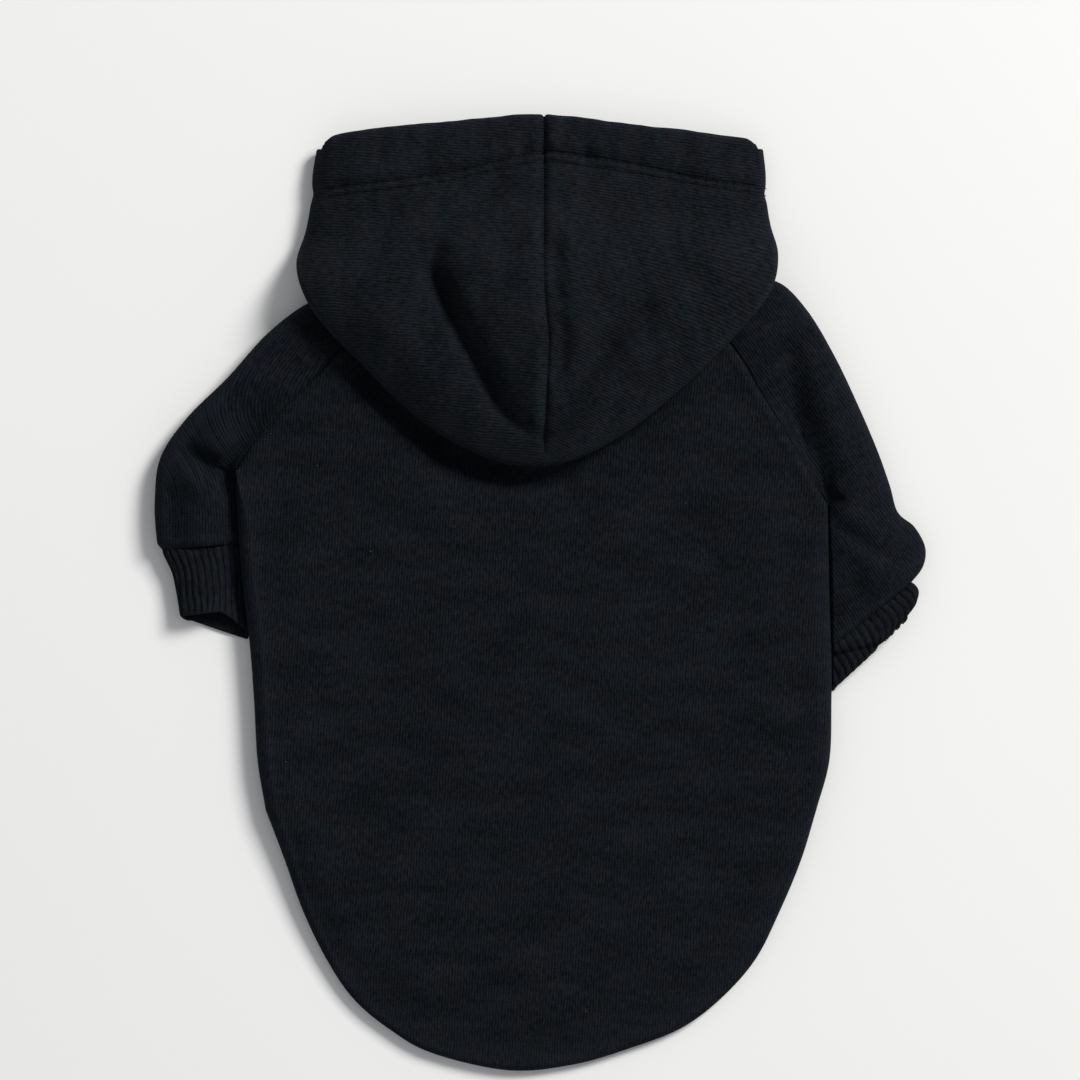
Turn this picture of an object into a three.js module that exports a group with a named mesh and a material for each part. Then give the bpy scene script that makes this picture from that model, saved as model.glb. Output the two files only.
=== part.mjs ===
// Dog hoodie in black fleece, lying flat with its back up and the hood folded
// down over the back. Millimetres, +Z up, the head end at +Y, the table at z 0.
// X 0 is the middle of the back, Y 0 lies a little below the sleeves.
// Tables hold shares of the named sizes, one row for each place along a seam,
// a contour or a fold, read by eye from the garment's outline.

import * as THREE from "three";

// Overall sizes of the garment as it lies
const CHEST_HALF = 145;
const BACK_LENGTH = 389;
const NECK_LINE = 150;
const SPAN_HALF = 193;
const HOOD_HALF = 120;
const HOOD_LENGTH = 177;
const HOOD_TIP_LINE = 63;
const MIDDLE_SHIFT = -0.55;

// Cloth and seams
const CLOTH = 2.0;
const CASING_CLOTH = 3.0;
const CASING_WIDTH = 20;
const SEAM_GAP = 0.3;
const TUCK_GAP = 0.3;
const CUFF_GAP = 0.45;
const RIB_CLOTH = 2.0;

// Heights of the layers above the table
const BODY_FOLD_HEIGHT = 13;
const BODY_CROWN = 3;
const NECK_HEIGHT = 14.6;
const TAIL_HEIGHT = 6.4;
const HOOD_REST = 17.2;
const HOOD_CREST = 36.5;
const HOOD_MOUTH = 15.5;
const HOOD_RIM_LOFT = 12;
const HOOD_ROLL = 15;
const HOOD_ROLL_ANGLE = (62 * Math.PI) / 180;
const HOOD_FOLD_DEPTH = 19;

// Underside of the body
const SIDE_WRAP = 28;
const HEM_TURN = 16;
const BELLY_END_LINE = -92;
const THROAT_LINE = 123;
const UNDERARM_NOTCH = 4;

// Ribbed cuffs
const RIB_COUNT = 22;
const RIB_DEPTH = 0.45;

// Mesh steps
const BODY_ACROSS = 20;
const RAGLAN_STEPS = 10;
const SIDE_STEPS = 9;
const FOLD_STEPS = 5;
const WRAP_STEPS = 2;
const HOOD_LINES = 20;
const HOOD_UNDER_STEPS = 4;
const HOOD_FOLD_STEPS = 5;
const HOOD_TOP_STEPS = 13;
const SLEEVE_RINGS = 14;
const SLEEVE_CAP_STEPS = 4;
const SLEEVE_UNDER_STEPS = 6;
const CUFF_RINGS = 5;

// Sides of the body from the underarm to the tail. side: share of CHEST_HALF,
// down: share of BACK_LENGTH below the neck line.
const BODY_LEFT = [
  { side: 1.052, down: 0.228 },
  { side: 1.046, down: 0.292 },
  { side: 1.028, down: 0.373 },
  { side: 1.004, down: 0.447 },
  { side: 0.988, down: 0.524 },
  { side: 0.976, down: 0.601 },
  { side: 0.948, down: 0.665 },
];
const BODY_RIGHT = [
  { side: 0.992, down: 0.27 },
  { side: 1, down: 0.32 },
  { side: 1.004, down: 0.373 },
  { side: 1.007, down: 0.447 },
  { side: 1.007, down: 0.524 },
  { side: 1, down: 0.601 },
  { side: 0.955, down: 0.665 },
];
// Round tail hem from the left corner to the right one
const TAIL_HEM = [
  { side: -0.948, down: 0.665 },
  { side: -0.883, down: 0.729 },
  { side: -0.821, down: 0.794 },
  { side: -0.738, down: 0.858 },
  { side: -0.645, down: 0.909 },
  { side: -0.521, down: 0.948 },
  { side: -0.372, down: 0.979 },
  { side: -0.11, down: 1.001 },
  { side: 0.11, down: 0.994 },
  { side: 0.3, down: 0.974 },
  { side: 0.486, down: 0.947 },
  { side: 0.624, down: 0.909 },
  { side: 0.745, down: 0.858 },
  { side: 0.831, down: 0.794 },
  { side: 0.903, down: 0.729 },
  { side: 0.955, down: 0.665 },
];
// Slanted seams between body and sleeves, from the neck to the underarm
const RAGLAN_LEFT = [
  { side: 0.483, down: 0.006 },
  { side: 0.586, down: 0.038 },
  { side: 0.672, down: 0.073 },
  { side: 0.772, down: 0.114 },
  { side: 0.869, down: 0.154 },
  { side: 0.945, down: 0.19 },
  { side: 1.006, down: 0.228 },
];
const RAGLAN_RIGHT = [
  { side: 0.483, down: 0.006 },
  { side: 0.59, down: 0.042 },
  { side: 0.672, down: 0.083 },
  { side: 0.752, down: 0.128 },
  { side: 0.828, down: 0.175 },
  { side: 0.9, down: 0.225 },
  { side: 0.948, down: 0.27 },
];

// Sections of the sleeves from the armhole to the cuff seam. out_x, out_y: outer
// contour, in_y: inner contour, which lies along the body's side, in_off: how far
// it stands off that side, as shares of SPAN_HALF. out_lift, in_lift: heights of the
// two folds as shares of BODY_FOLD_HEIGHT. crown: extra height in the middle, the
// same share.
const SLEEVE_LEFT = [
  { out_x: -0.505, out_y: 0.778, in_y: 0.295, in_off: 0.011, out_lift: 1, in_lift: 0.62, crown: 0.1 },
  { out_x: -0.596, out_y: 0.756, in_y: 0.294, in_off: 0.012, out_lift: 1, in_lift: 0.5, crown: 0.12 },
  { out_x: -0.705, out_y: 0.676, in_y: 0.292, in_off: 0.012, out_lift: 1, in_lift: 0.46, crown: 0.16 },
  { out_x: -0.81, out_y: 0.56, in_y: 0.288, in_off: 0.009, out_lift: 1.02, in_lift: 0.44, crown: 0.2 },
  { out_x: -0.915, out_y: 0.456, in_y: 0.277, in_off: 0.005, out_lift: 1.05, in_lift: 0.43, crown: 0.22 },
  { out_x: -0.985, out_y: 0.352, in_y: 0.254, in_off: 0.002, out_lift: 1.05, in_lift: 0.43, crown: 0.22 },
  { out_x: -1, out_y: 0.24, in_y: 0.212, in_off: 0, out_lift: 1.05, in_lift: 0.43, crown: 0.2 },
  { out_x: -0.992, out_y: 0.132, in_y: 0.161, in_off: 0, out_lift: 1, in_lift: 0.43, crown: 0.16 },
  { out_x: -0.957, out_y: 0.1, in_y: 0.118, in_off: 0, out_lift: 0.84, in_lift: 0.43, crown: 0.1 },
];
const SLEEVE_RIGHT = [
  { out_x: 0.53, out_y: 0.815, in_y: 0.212, in_off: 0.01, out_lift: 1, in_lift: 0.62, crown: 0.1 },
  { out_x: 0.62, out_y: 0.806, in_y: 0.211, in_off: 0.011, out_lift: 1, in_lift: 0.5, crown: 0.12 },
  { out_x: 0.694, out_y: 0.733, in_y: 0.209, in_off: 0.011, out_lift: 1, in_lift: 0.46, crown: 0.16 },
  { out_x: 0.762, out_y: 0.62, in_y: 0.205, in_off: 0.009, out_lift: 1.02, in_lift: 0.44, crown: 0.2 },
  { out_x: 0.82, out_y: 0.5, in_y: 0.197, in_off: 0.007, out_lift: 1.05, in_lift: 0.43, crown: 0.22 },
  { out_x: 0.876, out_y: 0.375, in_y: 0.176, in_off: 0.003, out_lift: 1.05, in_lift: 0.43, crown: 0.22 },
  { out_x: 0.924, out_y: 0.25, in_y: 0.124, in_off: 0.001, out_lift: 1.05, in_lift: 0.43, crown: 0.2 },
  { out_x: 0.998, out_y: 0.118, in_y: 0.031, in_off: 0, out_lift: 1.05, in_lift: 0.43, crown: 0.18 },
  { out_x: 0.988, out_y: 0.045, in_y: -0.062, in_off: 0, out_lift: 1, in_lift: 0.43, crown: 0.14 },
  { out_x: 0.955, out_y: 0.01, in_y: -0.14, in_off: 0, out_lift: 0.84, in_lift: 0.43, crown: 0.1 },
];
// Sections of the cuffs below the seam, down to the opening. slip: how far the
// lower layer reaches past the upper one, as a share of SPAN_HALF.
const CUFF_LEFT = [
  {
    out_x: -0.95, out_y: 0.04, in_y: 0.055, in_off: 0,
    out_lift: 0.8, in_lift: 0.43, crown: 0.12, slip: 0.01,
  },
  {
    out_x: -0.944, out_y: -0.02, in_y: 0, in_off: 0,
    out_lift: 0.86, in_lift: 0.46, crown: 0.2, slip: 0.025,
  },
  {
    out_x: -0.93, out_y: -0.074, in_y: -0.05, in_off: 0,
    out_lift: 0.94, in_lift: 0.48, crown: 0.3, slip: 0.045,
  },
];
const CUFF_RIGHT = [
  {
    out_x: 0.968, out_y: -0.02, in_y: -0.175, in_off: 0,
    out_lift: 0.8, in_lift: 0.43, crown: 0.12, slip: 0,
  },
  {
    out_x: 0.952, out_y: -0.06, in_y: -0.21, in_off: 0,
    out_lift: 0.82, in_lift: 0.46, crown: 0.14, slip: 0,
  },
  {
    out_x: 0.912, out_y: -0.098, in_y: -0.248, in_off: 0,
    out_lift: 0.84, in_lift: 0.5, crown: 0.16, slip: 0,
  },
];

// Lines across each half of the hood, from the centre seam to the throat.
// neck, side and front: where a line leaves the neck seam, turns over the side
// fold and ends at the face edge. x in shares of HOOD_HALF, y in shares of
// HOOD_LENGTH above the hood's tip. lift: height of the neck seam there
// as a share of HOOD_REST.
const HOOD_LEFT = [
  { neck_x: 0, neck_y: 0.49, lift: 1, side_x: 0, side_y: 0, front_x: 0, front_y: 1 },
  { neck_x: 0.13, neck_y: 0.49, lift: 1, side_x: 0.17, side_y: 0.012, front_x: 0.14, front_y: 0.995 },
  { neck_x: 0.26, neck_y: 0.49, lift: 1, side_x: 0.39, side_y: 0.08, front_x: 0.29, front_y: 0.982 },
  { neck_x: 0.38, neck_y: 0.49, lift: 1, side_x: 0.56, side_y: 0.167, front_x: 0.43, front_y: 0.97 },
  { neck_x: 0.5, neck_y: 0.488, lift: 1, side_x: 0.74, side_y: 0.288, front_x: 0.56, front_y: 0.962 },
  { neck_x: 0.6, neck_y: 0.487, lift: 1, side_x: 0.88, side_y: 0.384, front_x: 0.67, front_y: 0.953 },
  {
    neck_x: 0.665, neck_y: 0.492, lift: 0.86,
    side_x: 0.975, side_y: 0.475, front_x: 0.755, front_y: 0.944,
  },
  { neck_x: 0.672, neck_y: 0.5, lift: 0.5, side_x: 1.015, side_y: 0.575, front_x: 0.825, front_y: 0.936 },
  { neck_x: 0.65, neck_y: 0.5, lift: 0.16, side_x: 0.978, side_y: 0.67, front_x: 0.868, front_y: 0.928 },
  { neck_x: 0.565, neck_y: 0.484, lift: 0, side_x: 0.952, side_y: 0.76, front_x: 0.886, front_y: 0.923 },
  { neck_x: 0.33, neck_y: 0.4, lift: 0, side_x: 0.945, side_y: 0.83, front_x: 0.889, front_y: 0.917 },
  { neck_x: 0.02, neck_y: 0.351, lift: 0, side_x: 0.934, side_y: 0.895, front_x: 0.882, front_y: 0.912 },
];
const HOOD_RIGHT = [
  { neck_x: 0, neck_y: 0.49, lift: 1, side_x: 0, side_y: 0, front_x: 0, front_y: 1 },
  { neck_x: 0.13, neck_y: 0.49, lift: 1, side_x: 0.14, side_y: 0.02, front_x: 0.15, front_y: 0.99 },
  { neck_x: 0.26, neck_y: 0.49, lift: 1, side_x: 0.33, side_y: 0.085, front_x: 0.3, front_y: 0.972 },
  { neck_x: 0.38, neck_y: 0.49, lift: 1, side_x: 0.53, side_y: 0.188, front_x: 0.44, front_y: 0.956 },
  { neck_x: 0.5, neck_y: 0.488, lift: 1, side_x: 0.725, side_y: 0.31, front_x: 0.57, front_y: 0.948 },
  { neck_x: 0.6, neck_y: 0.487, lift: 1, side_x: 0.865, side_y: 0.41, front_x: 0.67, front_y: 0.938 },
  { neck_x: 0.668, neck_y: 0.497, lift: 0.86, side_x: 0.965, side_y: 0.505, front_x: 0.745, front_y: 0.93 },
  { neck_x: 0.675, neck_y: 0.508, lift: 0.5, side_x: 0.99, side_y: 0.6, front_x: 0.8, front_y: 0.926 },
  { neck_x: 0.65, neck_y: 0.506, lift: 0.16, side_x: 0.962, side_y: 0.685, front_x: 0.845, front_y: 0.922 },
  { neck_x: 0.565, neck_y: 0.484, lift: 0, side_x: 0.942, side_y: 0.765, front_x: 0.868, front_y: 0.92 },
  { neck_x: 0.33, neck_y: 0.4, lift: 0, side_x: 0.938, side_y: 0.835, front_x: 0.876, front_y: 0.916 },
  { neck_x: 0.02, neck_y: 0.351, lift: 0, side_x: 0.928, side_y: 0.895, front_x: 0.874, front_y: 0.912 },
];

// Folds and dents of the hood's upper layer. Each runs from its first to its
// last place, x in shares of HOOD_HALF and y in shares of HOOD_LENGTH above the
// tip. rise: height in shares of HOOD_FOLD_DEPTH, width: half width in mm.
const HOOD_FOLDS = [
  { x0: -0.2, y0: 0.74, x1: -0.36, y1: 0.58, rise: -0.2, width: 9 },
  { x0: -0.36, y0: 0.58, x1: -0.43, y1: 0.5, rise: -0.24, width: 10 },
  { x0: -0.43, y0: 0.5, x1: -0.34, y1: 0.29, rise: -0.24, width: 10 },
  { x0: -0.34, y0: 0.29, x1: -0.2, y1: 0.12, rise: -0.16, width: 9 },
  { x0: -0.1, y0: 0.6, x1: -0.09, y1: 0.16, rise: 0.1, width: 9 },
  { x0: 0.41, y0: 0.44, x1: 0.07, y1: 0.18, rise: -0.12, width: 8 },
  { x0: 0.3, y0: 0.5, x1: 0.12, y1: 0.34, rise: 0.08, width: 9 },
  { x0: 0.05, y0: 0.6, x1: 0.05, y1: 0.5, rise: -0.14, width: 7 },
  { x0: 0.06, y0: 0.4, x1: 0.05, y1: 0.28, rise: -0.14, width: 7 },
];
// Folds of the sleeves' upper layer, x and y in shares of SPAN_HALF, rise in
// shares of BODY_FOLD_HEIGHT.
const SLEEVE_FOLDS = [
  { x0: -0.91, y0: 0.375, x1: -0.8, y1: 0.3, rise: -0.3, width: 7 },
  { x0: 0.83, y0: 0.59, x1: 0.82, y1: 0.39, rise: -0.25, width: 8 },
  { x0: 0.9, y0: 0.2, x1: 0.82, y1: 0.05, rise: 0.12, width: 8 },
];
// Soft hollows and swells of the back, x in shares of CHEST_HALF, y in shares of
// BACK_LENGTH below the neck line, rise in mm.
const BACK_FOLDS = [
  { x0: -0.75, y0: 0.3, x1: -0.6, y1: 0.62, rise: -1, width: 22 },
  { x0: 0.55, y0: 0.3, x1: 0.62, y1: 0.6, rise: -0.8, width: 24 },
  { x0: -0.3, y0: 0.45, x1: 0.2, y1: 0.8, rise: 1, width: 34 },
];

const FLEECE_BLACK = "#14171b";
const FLEECE_BACK = "#17191d";
const RIB_BLACK = "#0d1013";

function mix(a, b, t) {
  return a + (b - a) * t;
}

function smooth(lo, hi, v) {
  const t = Math.min(1, Math.max(0, (v - lo) / (hi - lo)));
  return t * t * (3 - 2 * t);
}

// Value of one column of a table at t from 0 to 1, on a smooth curve
function column(table, name, t) {
  const last = table.length - 1;
  const at = Math.min(last - 1e-9, Math.max(0, t * last));
  const i = Math.floor(at);
  const f = at - i;
  const p1 = table[i][name];
  const p2 = table[i + 1][name];
  const p0 = i > 0 ? table[i - 1][name] : 2 * p1 - p2;
  const p3 = i + 2 <= last ? table[i + 2][name] : 2 * p2 - p1;
  const a = 2 * p1;
  const b = p2 - p0;
  const c = 2 * p0 - 5 * p1 + 4 * p2 - p3;
  const d = 3 * p1 - p0 - 3 * p2 + p3;
  return 0.5 * (a + b * f + c * f * f + d * f * f * f);
}

// Sum of the folds at a place, sx and sy scale the table, oy is its zero line
function foldsAt(folds, x, y, sx, sy, oy, scale) {
  let sum = 0;
  for (const f of folds) {
    const ax = f.x0 * sx;
    const ay = oy + f.y0 * sy;
    const dx = f.x1 * sx - ax;
    const dy = oy + f.y1 * sy - ay;
    const len2 = dx * dx + dy * dy;
    const u = Math.min(1, Math.max(0, ((x - ax) * dx + (y - ay) * dy) / len2));
    const ex = x - ax - u * dx;
    const ey = y - ay - u * dy;
    sum += f.rise * scale * Math.exp(-(ex * ex + ey * ey) / (2 * f.width * f.width));
  }
  return sum;
}

// Mark for a point whose cut edge stays in the plane of the centre seam
const CENTRE_SEAM = "centre";

// An open sheet of cells whose corners are shared by place
class Sheet {
  constructor() {
    this.points = [];
    this.normals = [];
    this.thick = [];
    this.cells = [];
    this.lookup = new Map();
  }

  point(x, y, z, thick, normal) {
    const key = [x, y, z].map((v) => Math.round(v * 500)).join(",");
    if (this.lookup.has(key)) {
      return this.lookup.get(key);
    }
    const id = this.points.length;
    this.points.push(new THREE.Vector3(x, y, z));
    this.thick.push(thick);
    this.normals.push(normal || null);
    this.lookup.set(key, id);
    return id;
  }

  grid(rows, flip) {
    for (let i = 0; i + 1 < rows.length; i += 1) {
      for (let j = 0; j + 1 < rows[i].length; j += 1) {
        const q = [rows[i][j], rows[i][j + 1], rows[i + 1][j + 1], rows[i + 1][j]];
        this.cell(flip ? q.reverse() : q);
      }
    }
  }

  cell(q) {
    const clean = q.filter((id, k) => id !== q[(k + 1) % q.length]);
    if (clean.length === 4) {
      this.cells.push([clean[0], clean[1], clean[2]]);
      this.cells.push([clean[0], clean[2], clean[3]]);
    } else if (clean.length === 3) {
      this.cells.push(clean);
    }
  }

  // Closed wall: the outer face is the sheet, the inner face lies below it by
  // the cloth's thickness, and every free edge gets a narrow side wall.
  solid() {
    const count = this.points.length;
    const sums = this.points.map(() => new THREE.Vector3());
    const ab = new THREE.Vector3();
    const ac = new THREE.Vector3();
    for (const [a, b, c] of this.cells) {
      ab.subVectors(this.points[b], this.points[a]);
      ac.subVectors(this.points[c], this.points[a]);
      ab.cross(ac);
      sums[a].add(ab);
      sums[b].add(ab);
      sums[c].add(ab);
    }
    const positions = [];
    for (const p of this.points) {
      positions.push(p.x, p.y, p.z);
    }
    this.points.forEach((p, i) => {
      const fixed = this.normals[i];
      if (fixed === CENTRE_SEAM) {
        sums[i].x = 0;
      }
      const n = fixed && fixed !== CENTRE_SEAM ? fixed : sums[i].normalize();
      positions.push(p.x - n.x * this.thick[i], p.y - n.y * this.thick[i], p.z - n.z * this.thick[i]);
    });
    const index = [];
    const edges = new Map();
    for (const [a, b, c] of this.cells) {
      index.push(a, b, c, count + a, count + c, count + b);
      for (const [p, q] of [[a, b], [b, c], [c, a]]) {
        const back = q + "," + p;
        if (edges.has(back)) {
          edges.delete(back);
        } else {
          edges.set(p + "," + q, [p, q]);
        }
      }
    }
    for (const [p, q] of edges.values()) {
      index.push(q, p, count + p, q, count + p, count + q);
    }
    const geometry = new THREE.BufferGeometry();
    geometry.setAttribute("position", new THREE.Float32BufferAttribute(positions, 3));
    geometry.setIndex(index);
    geometry.computeVertexNormals();
    return geometry;
  }
}

// Plan place of a side or seam row
function bodyPlace(table, t, sign) {
  const x = column(table, "side", t) * CHEST_HALF * sign;
  const y = NECK_LINE - column(table, "down", t) * BACK_LENGTH;
  return new THREE.Vector2(x, y);
}

// Plan x of the body's side at a height on the page
function bodySideX(side, y) {
  const table = side < 0 ? BODY_LEFT : BODY_RIGHT;
  let lo = 0;
  let hi = 1;
  for (let k = 0; k < 24; k += 1) {
    const t = (lo + hi) / 2;
    if (bodyPlace(table, t, side).y > y) {
      lo = t;
    } else {
      hi = t;
    }
  }
  return bodyPlace(table, lo, side).x;
}

// Height of the body's edge fold at a place down the back
function foldHeight(y) {
  return mix(TAIL_HEIGHT, BODY_FOLD_HEIGHT, smooth(-215, -70, y));
}

// Depth of the cloth turned to the underside
function wrapDepth(y, underarm) {
  const grow = smooth(underarm + 2, underarm - 70, y);
  const side = mix(1.5, SIDE_WRAP, grow);
  return mix(side, HEM_TURN, smooth(-80, -120, y));
}

// Outline of the body from the left underarm round the tail to the right one
function bodyOutline() {
  const list = [];
  const sideSteps = SIDE_STEPS;
  const hemSteps = BODY_ACROSS;
  for (let i = 0; i < sideSteps; i += 1) {
    list.push(bodyPlace(BODY_LEFT, i / sideSteps, -1));
  }
  for (let i = 0; i <= hemSteps; i += 1) {
    list.push(bodyPlace(TAIL_HEM, i / hemSteps, 1));
  }
  for (let i = sideSteps - 1; i >= 0; i -= 1) {
    list.push(bodyPlace(BODY_RIGHT, i / sideSteps, 1));
  }
  const count = list.length;
  return list.map((p, i) => {
    const a = list[Math.max(0, i - 1)];
    const b = list[Math.min(count - 1, i + 1)];
    const along = new THREE.Vector2().subVectors(b, a).normalize();
    const out = new THREE.Vector2(along.y, -along.x);
    if (i === 0) {
      out.set(-1, 0);
    }
    if (i === count - 1) {
      out.set(1, 0);
    }
    const height = foldHeight(p.y);
    const underarm = i < count / 2 ? list[0].y : list[count - 1].y;
    const inset = out.clone().multiplyScalar(-height / 2).add(p);
    return { edge: p, out, height, inset, wrap: wrapDepth(p.y, underarm) };
  });
}

// Height of the slanted seams, t from the neck to the underarm
function raglanHeight(t) {
  return mix(NECK_HEIGHT, BODY_FOLD_HEIGHT, smooth(0, 1, t));
}

// Slanted seam ending on the body's fold line, gap moves it towards the sleeve
function raglanPlace(side, t, gap) {
  const table = side < 0 ? RAGLAN_LEFT : RAGLAN_RIGHT;
  const p = bodyPlace(table, t, side);
  const a = bodyPlace(table, Math.max(0, t - 0.05), side);
  const b = bodyPlace(table, Math.min(1, t + 0.05), side);
  const along = new THREE.Vector2().subVectors(b, a).normalize();
  const out = new THREE.Vector2(-along.y * side, along.x * side);
  return p.addScaledVector(out, gap);
}

function makeBackPanel() {
  const outline = bodyOutline();
  const sideSteps = SIDE_STEPS;
  const topSteps = RAGLAN_STEPS;
  const down = topSteps + sideSteps;
  const last = outline.length - 1;
  const left = [];
  const right = [];
  for (let i = 0; i < topSteps; i += 1) {
    const t = i / topSteps;
    const l = raglanPlace(-1, t, -SEAM_GAP / 2);
    const r = raglanPlace(1, t, -SEAM_GAP / 2);
    left.push([l.x, l.y, raglanHeight(t)]);
    right.push([r.x, r.y, raglanHeight(t)]);
  }
  for (let i = 0; i <= sideSteps; i += 1) {
    const l = outline[i];
    const r = outline[last - i];
    left.push([l.inset.x, l.inset.y, l.height]);
    right.push([r.inset.x, r.inset.y, r.height]);
  }
  const neck = [];
  const hem = [];
  for (let j = 0; j <= BODY_ACROSS; j += 1) {
    const s = j / BODY_ACROSS;
    const x = mix(left[0][0], right[0][0], s);
    const arch = Math.sin(Math.PI * s);
    neck.push([x, left[0][1] + 1.6 * arch, NECK_HEIGHT + 1.0 * arch]);
    const h = outline[sideSteps + j];
    hem.push([h.inset.x, h.inset.y, h.height]);
  }
  const sheet = new Sheet();
  const rows = [];
  for (let i = 0; i <= down; i += 1) {
    const t = i / down;
    const row = [];
    for (let j = 0; j <= BODY_ACROSS; j += 1) {
      const s = j / BODY_ACROSS;
      const at = [0, 1, 2].map((k) => {
        const ends = mix(left[i][k], right[i][k], s) + mix(neck[j][k], hem[j][k], t);
        const top = mix(neck[0][k], neck[BODY_ACROSS][k], s);
        const low = mix(hem[0][k], hem[BODY_ACROSS][k], s);
        return ends - mix(top, low, t);
      });
      const inner = smooth(0, 0.14, s) * smooth(1, 0.86, s) * smooth(0, 0.08, t) * smooth(1, 0.92, t);
      const crown = BODY_CROWN * inner * mix(0.5, 1, smooth(0, 0.3, t)) * Math.sqrt(Math.sin(Math.PI * s));
      const soft = foldsAt(BACK_FOLDS, at[0], at[1], CHEST_HALF, -BACK_LENGTH, NECK_LINE, 1);
      const edge = i === 0 || i === down || j === 0 || j === BODY_ACROSS;
      const flat = i < topSteps && edge ? new THREE.Vector3(0, 0, 1) : null;
      row.push(sheet.point(at[0], at[1], at[2] + (edge ? 0 : crown + soft * inner), CLOTH, flat));
    }
    rows.push(row);
  }
  sheet.grid(rows, true);
  const strip = [];
  outline.forEach((o, m) => {
    const line = [];
    const r = o.height / 2;
    const end = m === 0 || m === last;
    for (let k = 0; k <= FOLD_STEPS; k += 1) {
      const a = Math.PI / 2 - (Math.PI * k) / FOLD_STEPS;
      const x = o.inset.x + r * Math.cos(a) * o.out.x;
      const y = o.inset.y + r * Math.cos(a) * o.out.y - (end ? UNDERARM_NOTCH * Math.cos(a) : 0);
      line.push(sheet.point(x, y, r + r * Math.sin(a), CLOTH));
    }
    for (let k = 1; k <= WRAP_STEPS; k += 1) {
      const w = (o.wrap * k) / WRAP_STEPS;
      const x = o.inset.x - w * o.out.x;
      const y = o.inset.y - w * o.out.y;
      line.push(sheet.point(x, y, 0, CLOTH, new THREE.Vector3(0, 0, -1)));
    }
    strip.push(line);
  });
  sheet.grid(strip, false);
  return sheet.solid();
}

// Flat underside panel between the two wrapped sides
function makeBellyPanel() {
  const outline = bodyOutline();
  const last = outline.length - 1;
  const down = new THREE.Vector3(0, 0, -1);
  const sides = [-1, 1].map((side) => {
    const list = [];
    for (let i = 0; i < SLEEVE_UNDER_STEPS; i += 1) {
      const p = raglanPlace(side, i / SLEEVE_UNDER_STEPS, -SEAM_GAP / 2);
      list.push([p.x, p.y]);
    }
    const corner = side < 0 ? outline[0] : outline[last];
    list.push([corner.inset.x - side * 2.4, corner.inset.y + 0.6]);
    for (let i = 1; i <= SIDE_STEPS; i += 1) {
      const o = side < 0 ? outline[i] : outline[last - i];
      const w = o.wrap + (i < 3 ? 1.6 : 0.5);
      const y = o.inset.y - w * o.out.y;
      if (y > BELLY_END_LINE + 4) {
        list.push([o.inset.x - w * o.out.x, y]);
      }
    }
    const end = list[list.length - 1];
    list.push([end[0] - side * 2, BELLY_END_LINE]);
    return list;
  });
  const rowCount = Math.min(sides[0].length, sides[1].length);
  const sheet = new Sheet();
  const rows = [];
  const across = 10;
  for (let i = 0; i < rowCount; i += 1) {
    const row = [];
    for (let j = 0; j <= across; j += 1) {
      const s = j / across;
      const x = mix(sides[0][i][0], sides[1][i][0], s);
      const straight = mix(sides[0][i][1], sides[1][i][1], s);
      const scoop = (NECK_LINE - 2.5 - THROAT_LINE) * Math.sin(Math.PI * s) ** 0.8;
      const y = straight - scoop * Math.max(0, 1 - i / 8);
      row.push(sheet.point(x, y, 0, CLOTH, down));
    }
    rows.push(row);
  }
  sheet.grid(rows, false);
  return sheet.solid();
}

// One section of a sleeve or cuff: a flattened loop that starts on the outer
// fold, runs over the top to the inner fold and back underneath.
function tubeSection(table, t, cap, span, under) {
  const out = new THREE.Vector2(column(table, "out_x", t), column(table, "out_y", t));
  out.multiplyScalar(SPAN_HALF);
  const side = Math.sign(out.x);
  const inn = new THREE.Vector2(0, column(table, "in_y", t) * SPAN_HALF);
  inn.x = bodySideX(side, inn.y) + side * (TUCK_GAP + column(table, "in_off", t) * SPAN_HALF);
  const dir = new THREE.Vector2().subVectors(inn, out).normalize();
  const highOut = column(table, "out_lift", t) * BODY_FOLD_HEIGHT;
  const highIn = column(table, "in_lift", t) * BODY_FOLD_HEIGHT;
  const crown = column(table, "crown", t) * BODY_FOLD_HEIGHT;
  const a = out.clone().addScaledVector(dir, highOut / 2);
  const b = inn.clone().addScaledVector(dir, -highIn / 2);
  const loop = [];
  for (let k = 0; k < cap; k += 1) {
    const g = (Math.PI * k) / cap;
    const r = highOut / 2;
    const ex = -dir.x * Math.sin(g);
    const ey = -dir.y * Math.sin(g);
    loop.push([a.x + r * ex, a.y + r * ey, r - r * Math.cos(g), ex, ey, -Math.cos(g)]);
  }
  for (let k = 0; k < span; k += 1) {
    const u = k / span;
    const x = mix(a.x, b.x, u);
    const y = mix(a.y, b.y, u);
    const lift = mix(highOut, highIn, smooth(0.3, 1, u)) + crown * Math.sin(Math.PI * u);
    const fold = foldsAt(SLEEVE_FOLDS, x, y, SPAN_HALF, SPAN_HALF, 0, BODY_FOLD_HEIGHT);
    loop.push([x, y, lift + fold * Math.sin(Math.PI * u), 0, 0, 1]);
  }
  for (let k = 0; k < cap; k += 1) {
    const g = (Math.PI * k) / cap;
    const r = highIn / 2;
    const ex = dir.x * Math.sin(g);
    const ey = dir.y * Math.sin(g);
    loop.push([b.x + r * ex, b.y + r * ey, r + r * Math.cos(g), ex, ey, Math.cos(g)]);
  }
  for (let k = 0; k < under; k += 1) {
    const u = k / under;
    loop.push([mix(b.x, a.x, u), mix(b.y, a.y, u), 0, 0, 0, -1]);
  }
  return loop;
}

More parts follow.
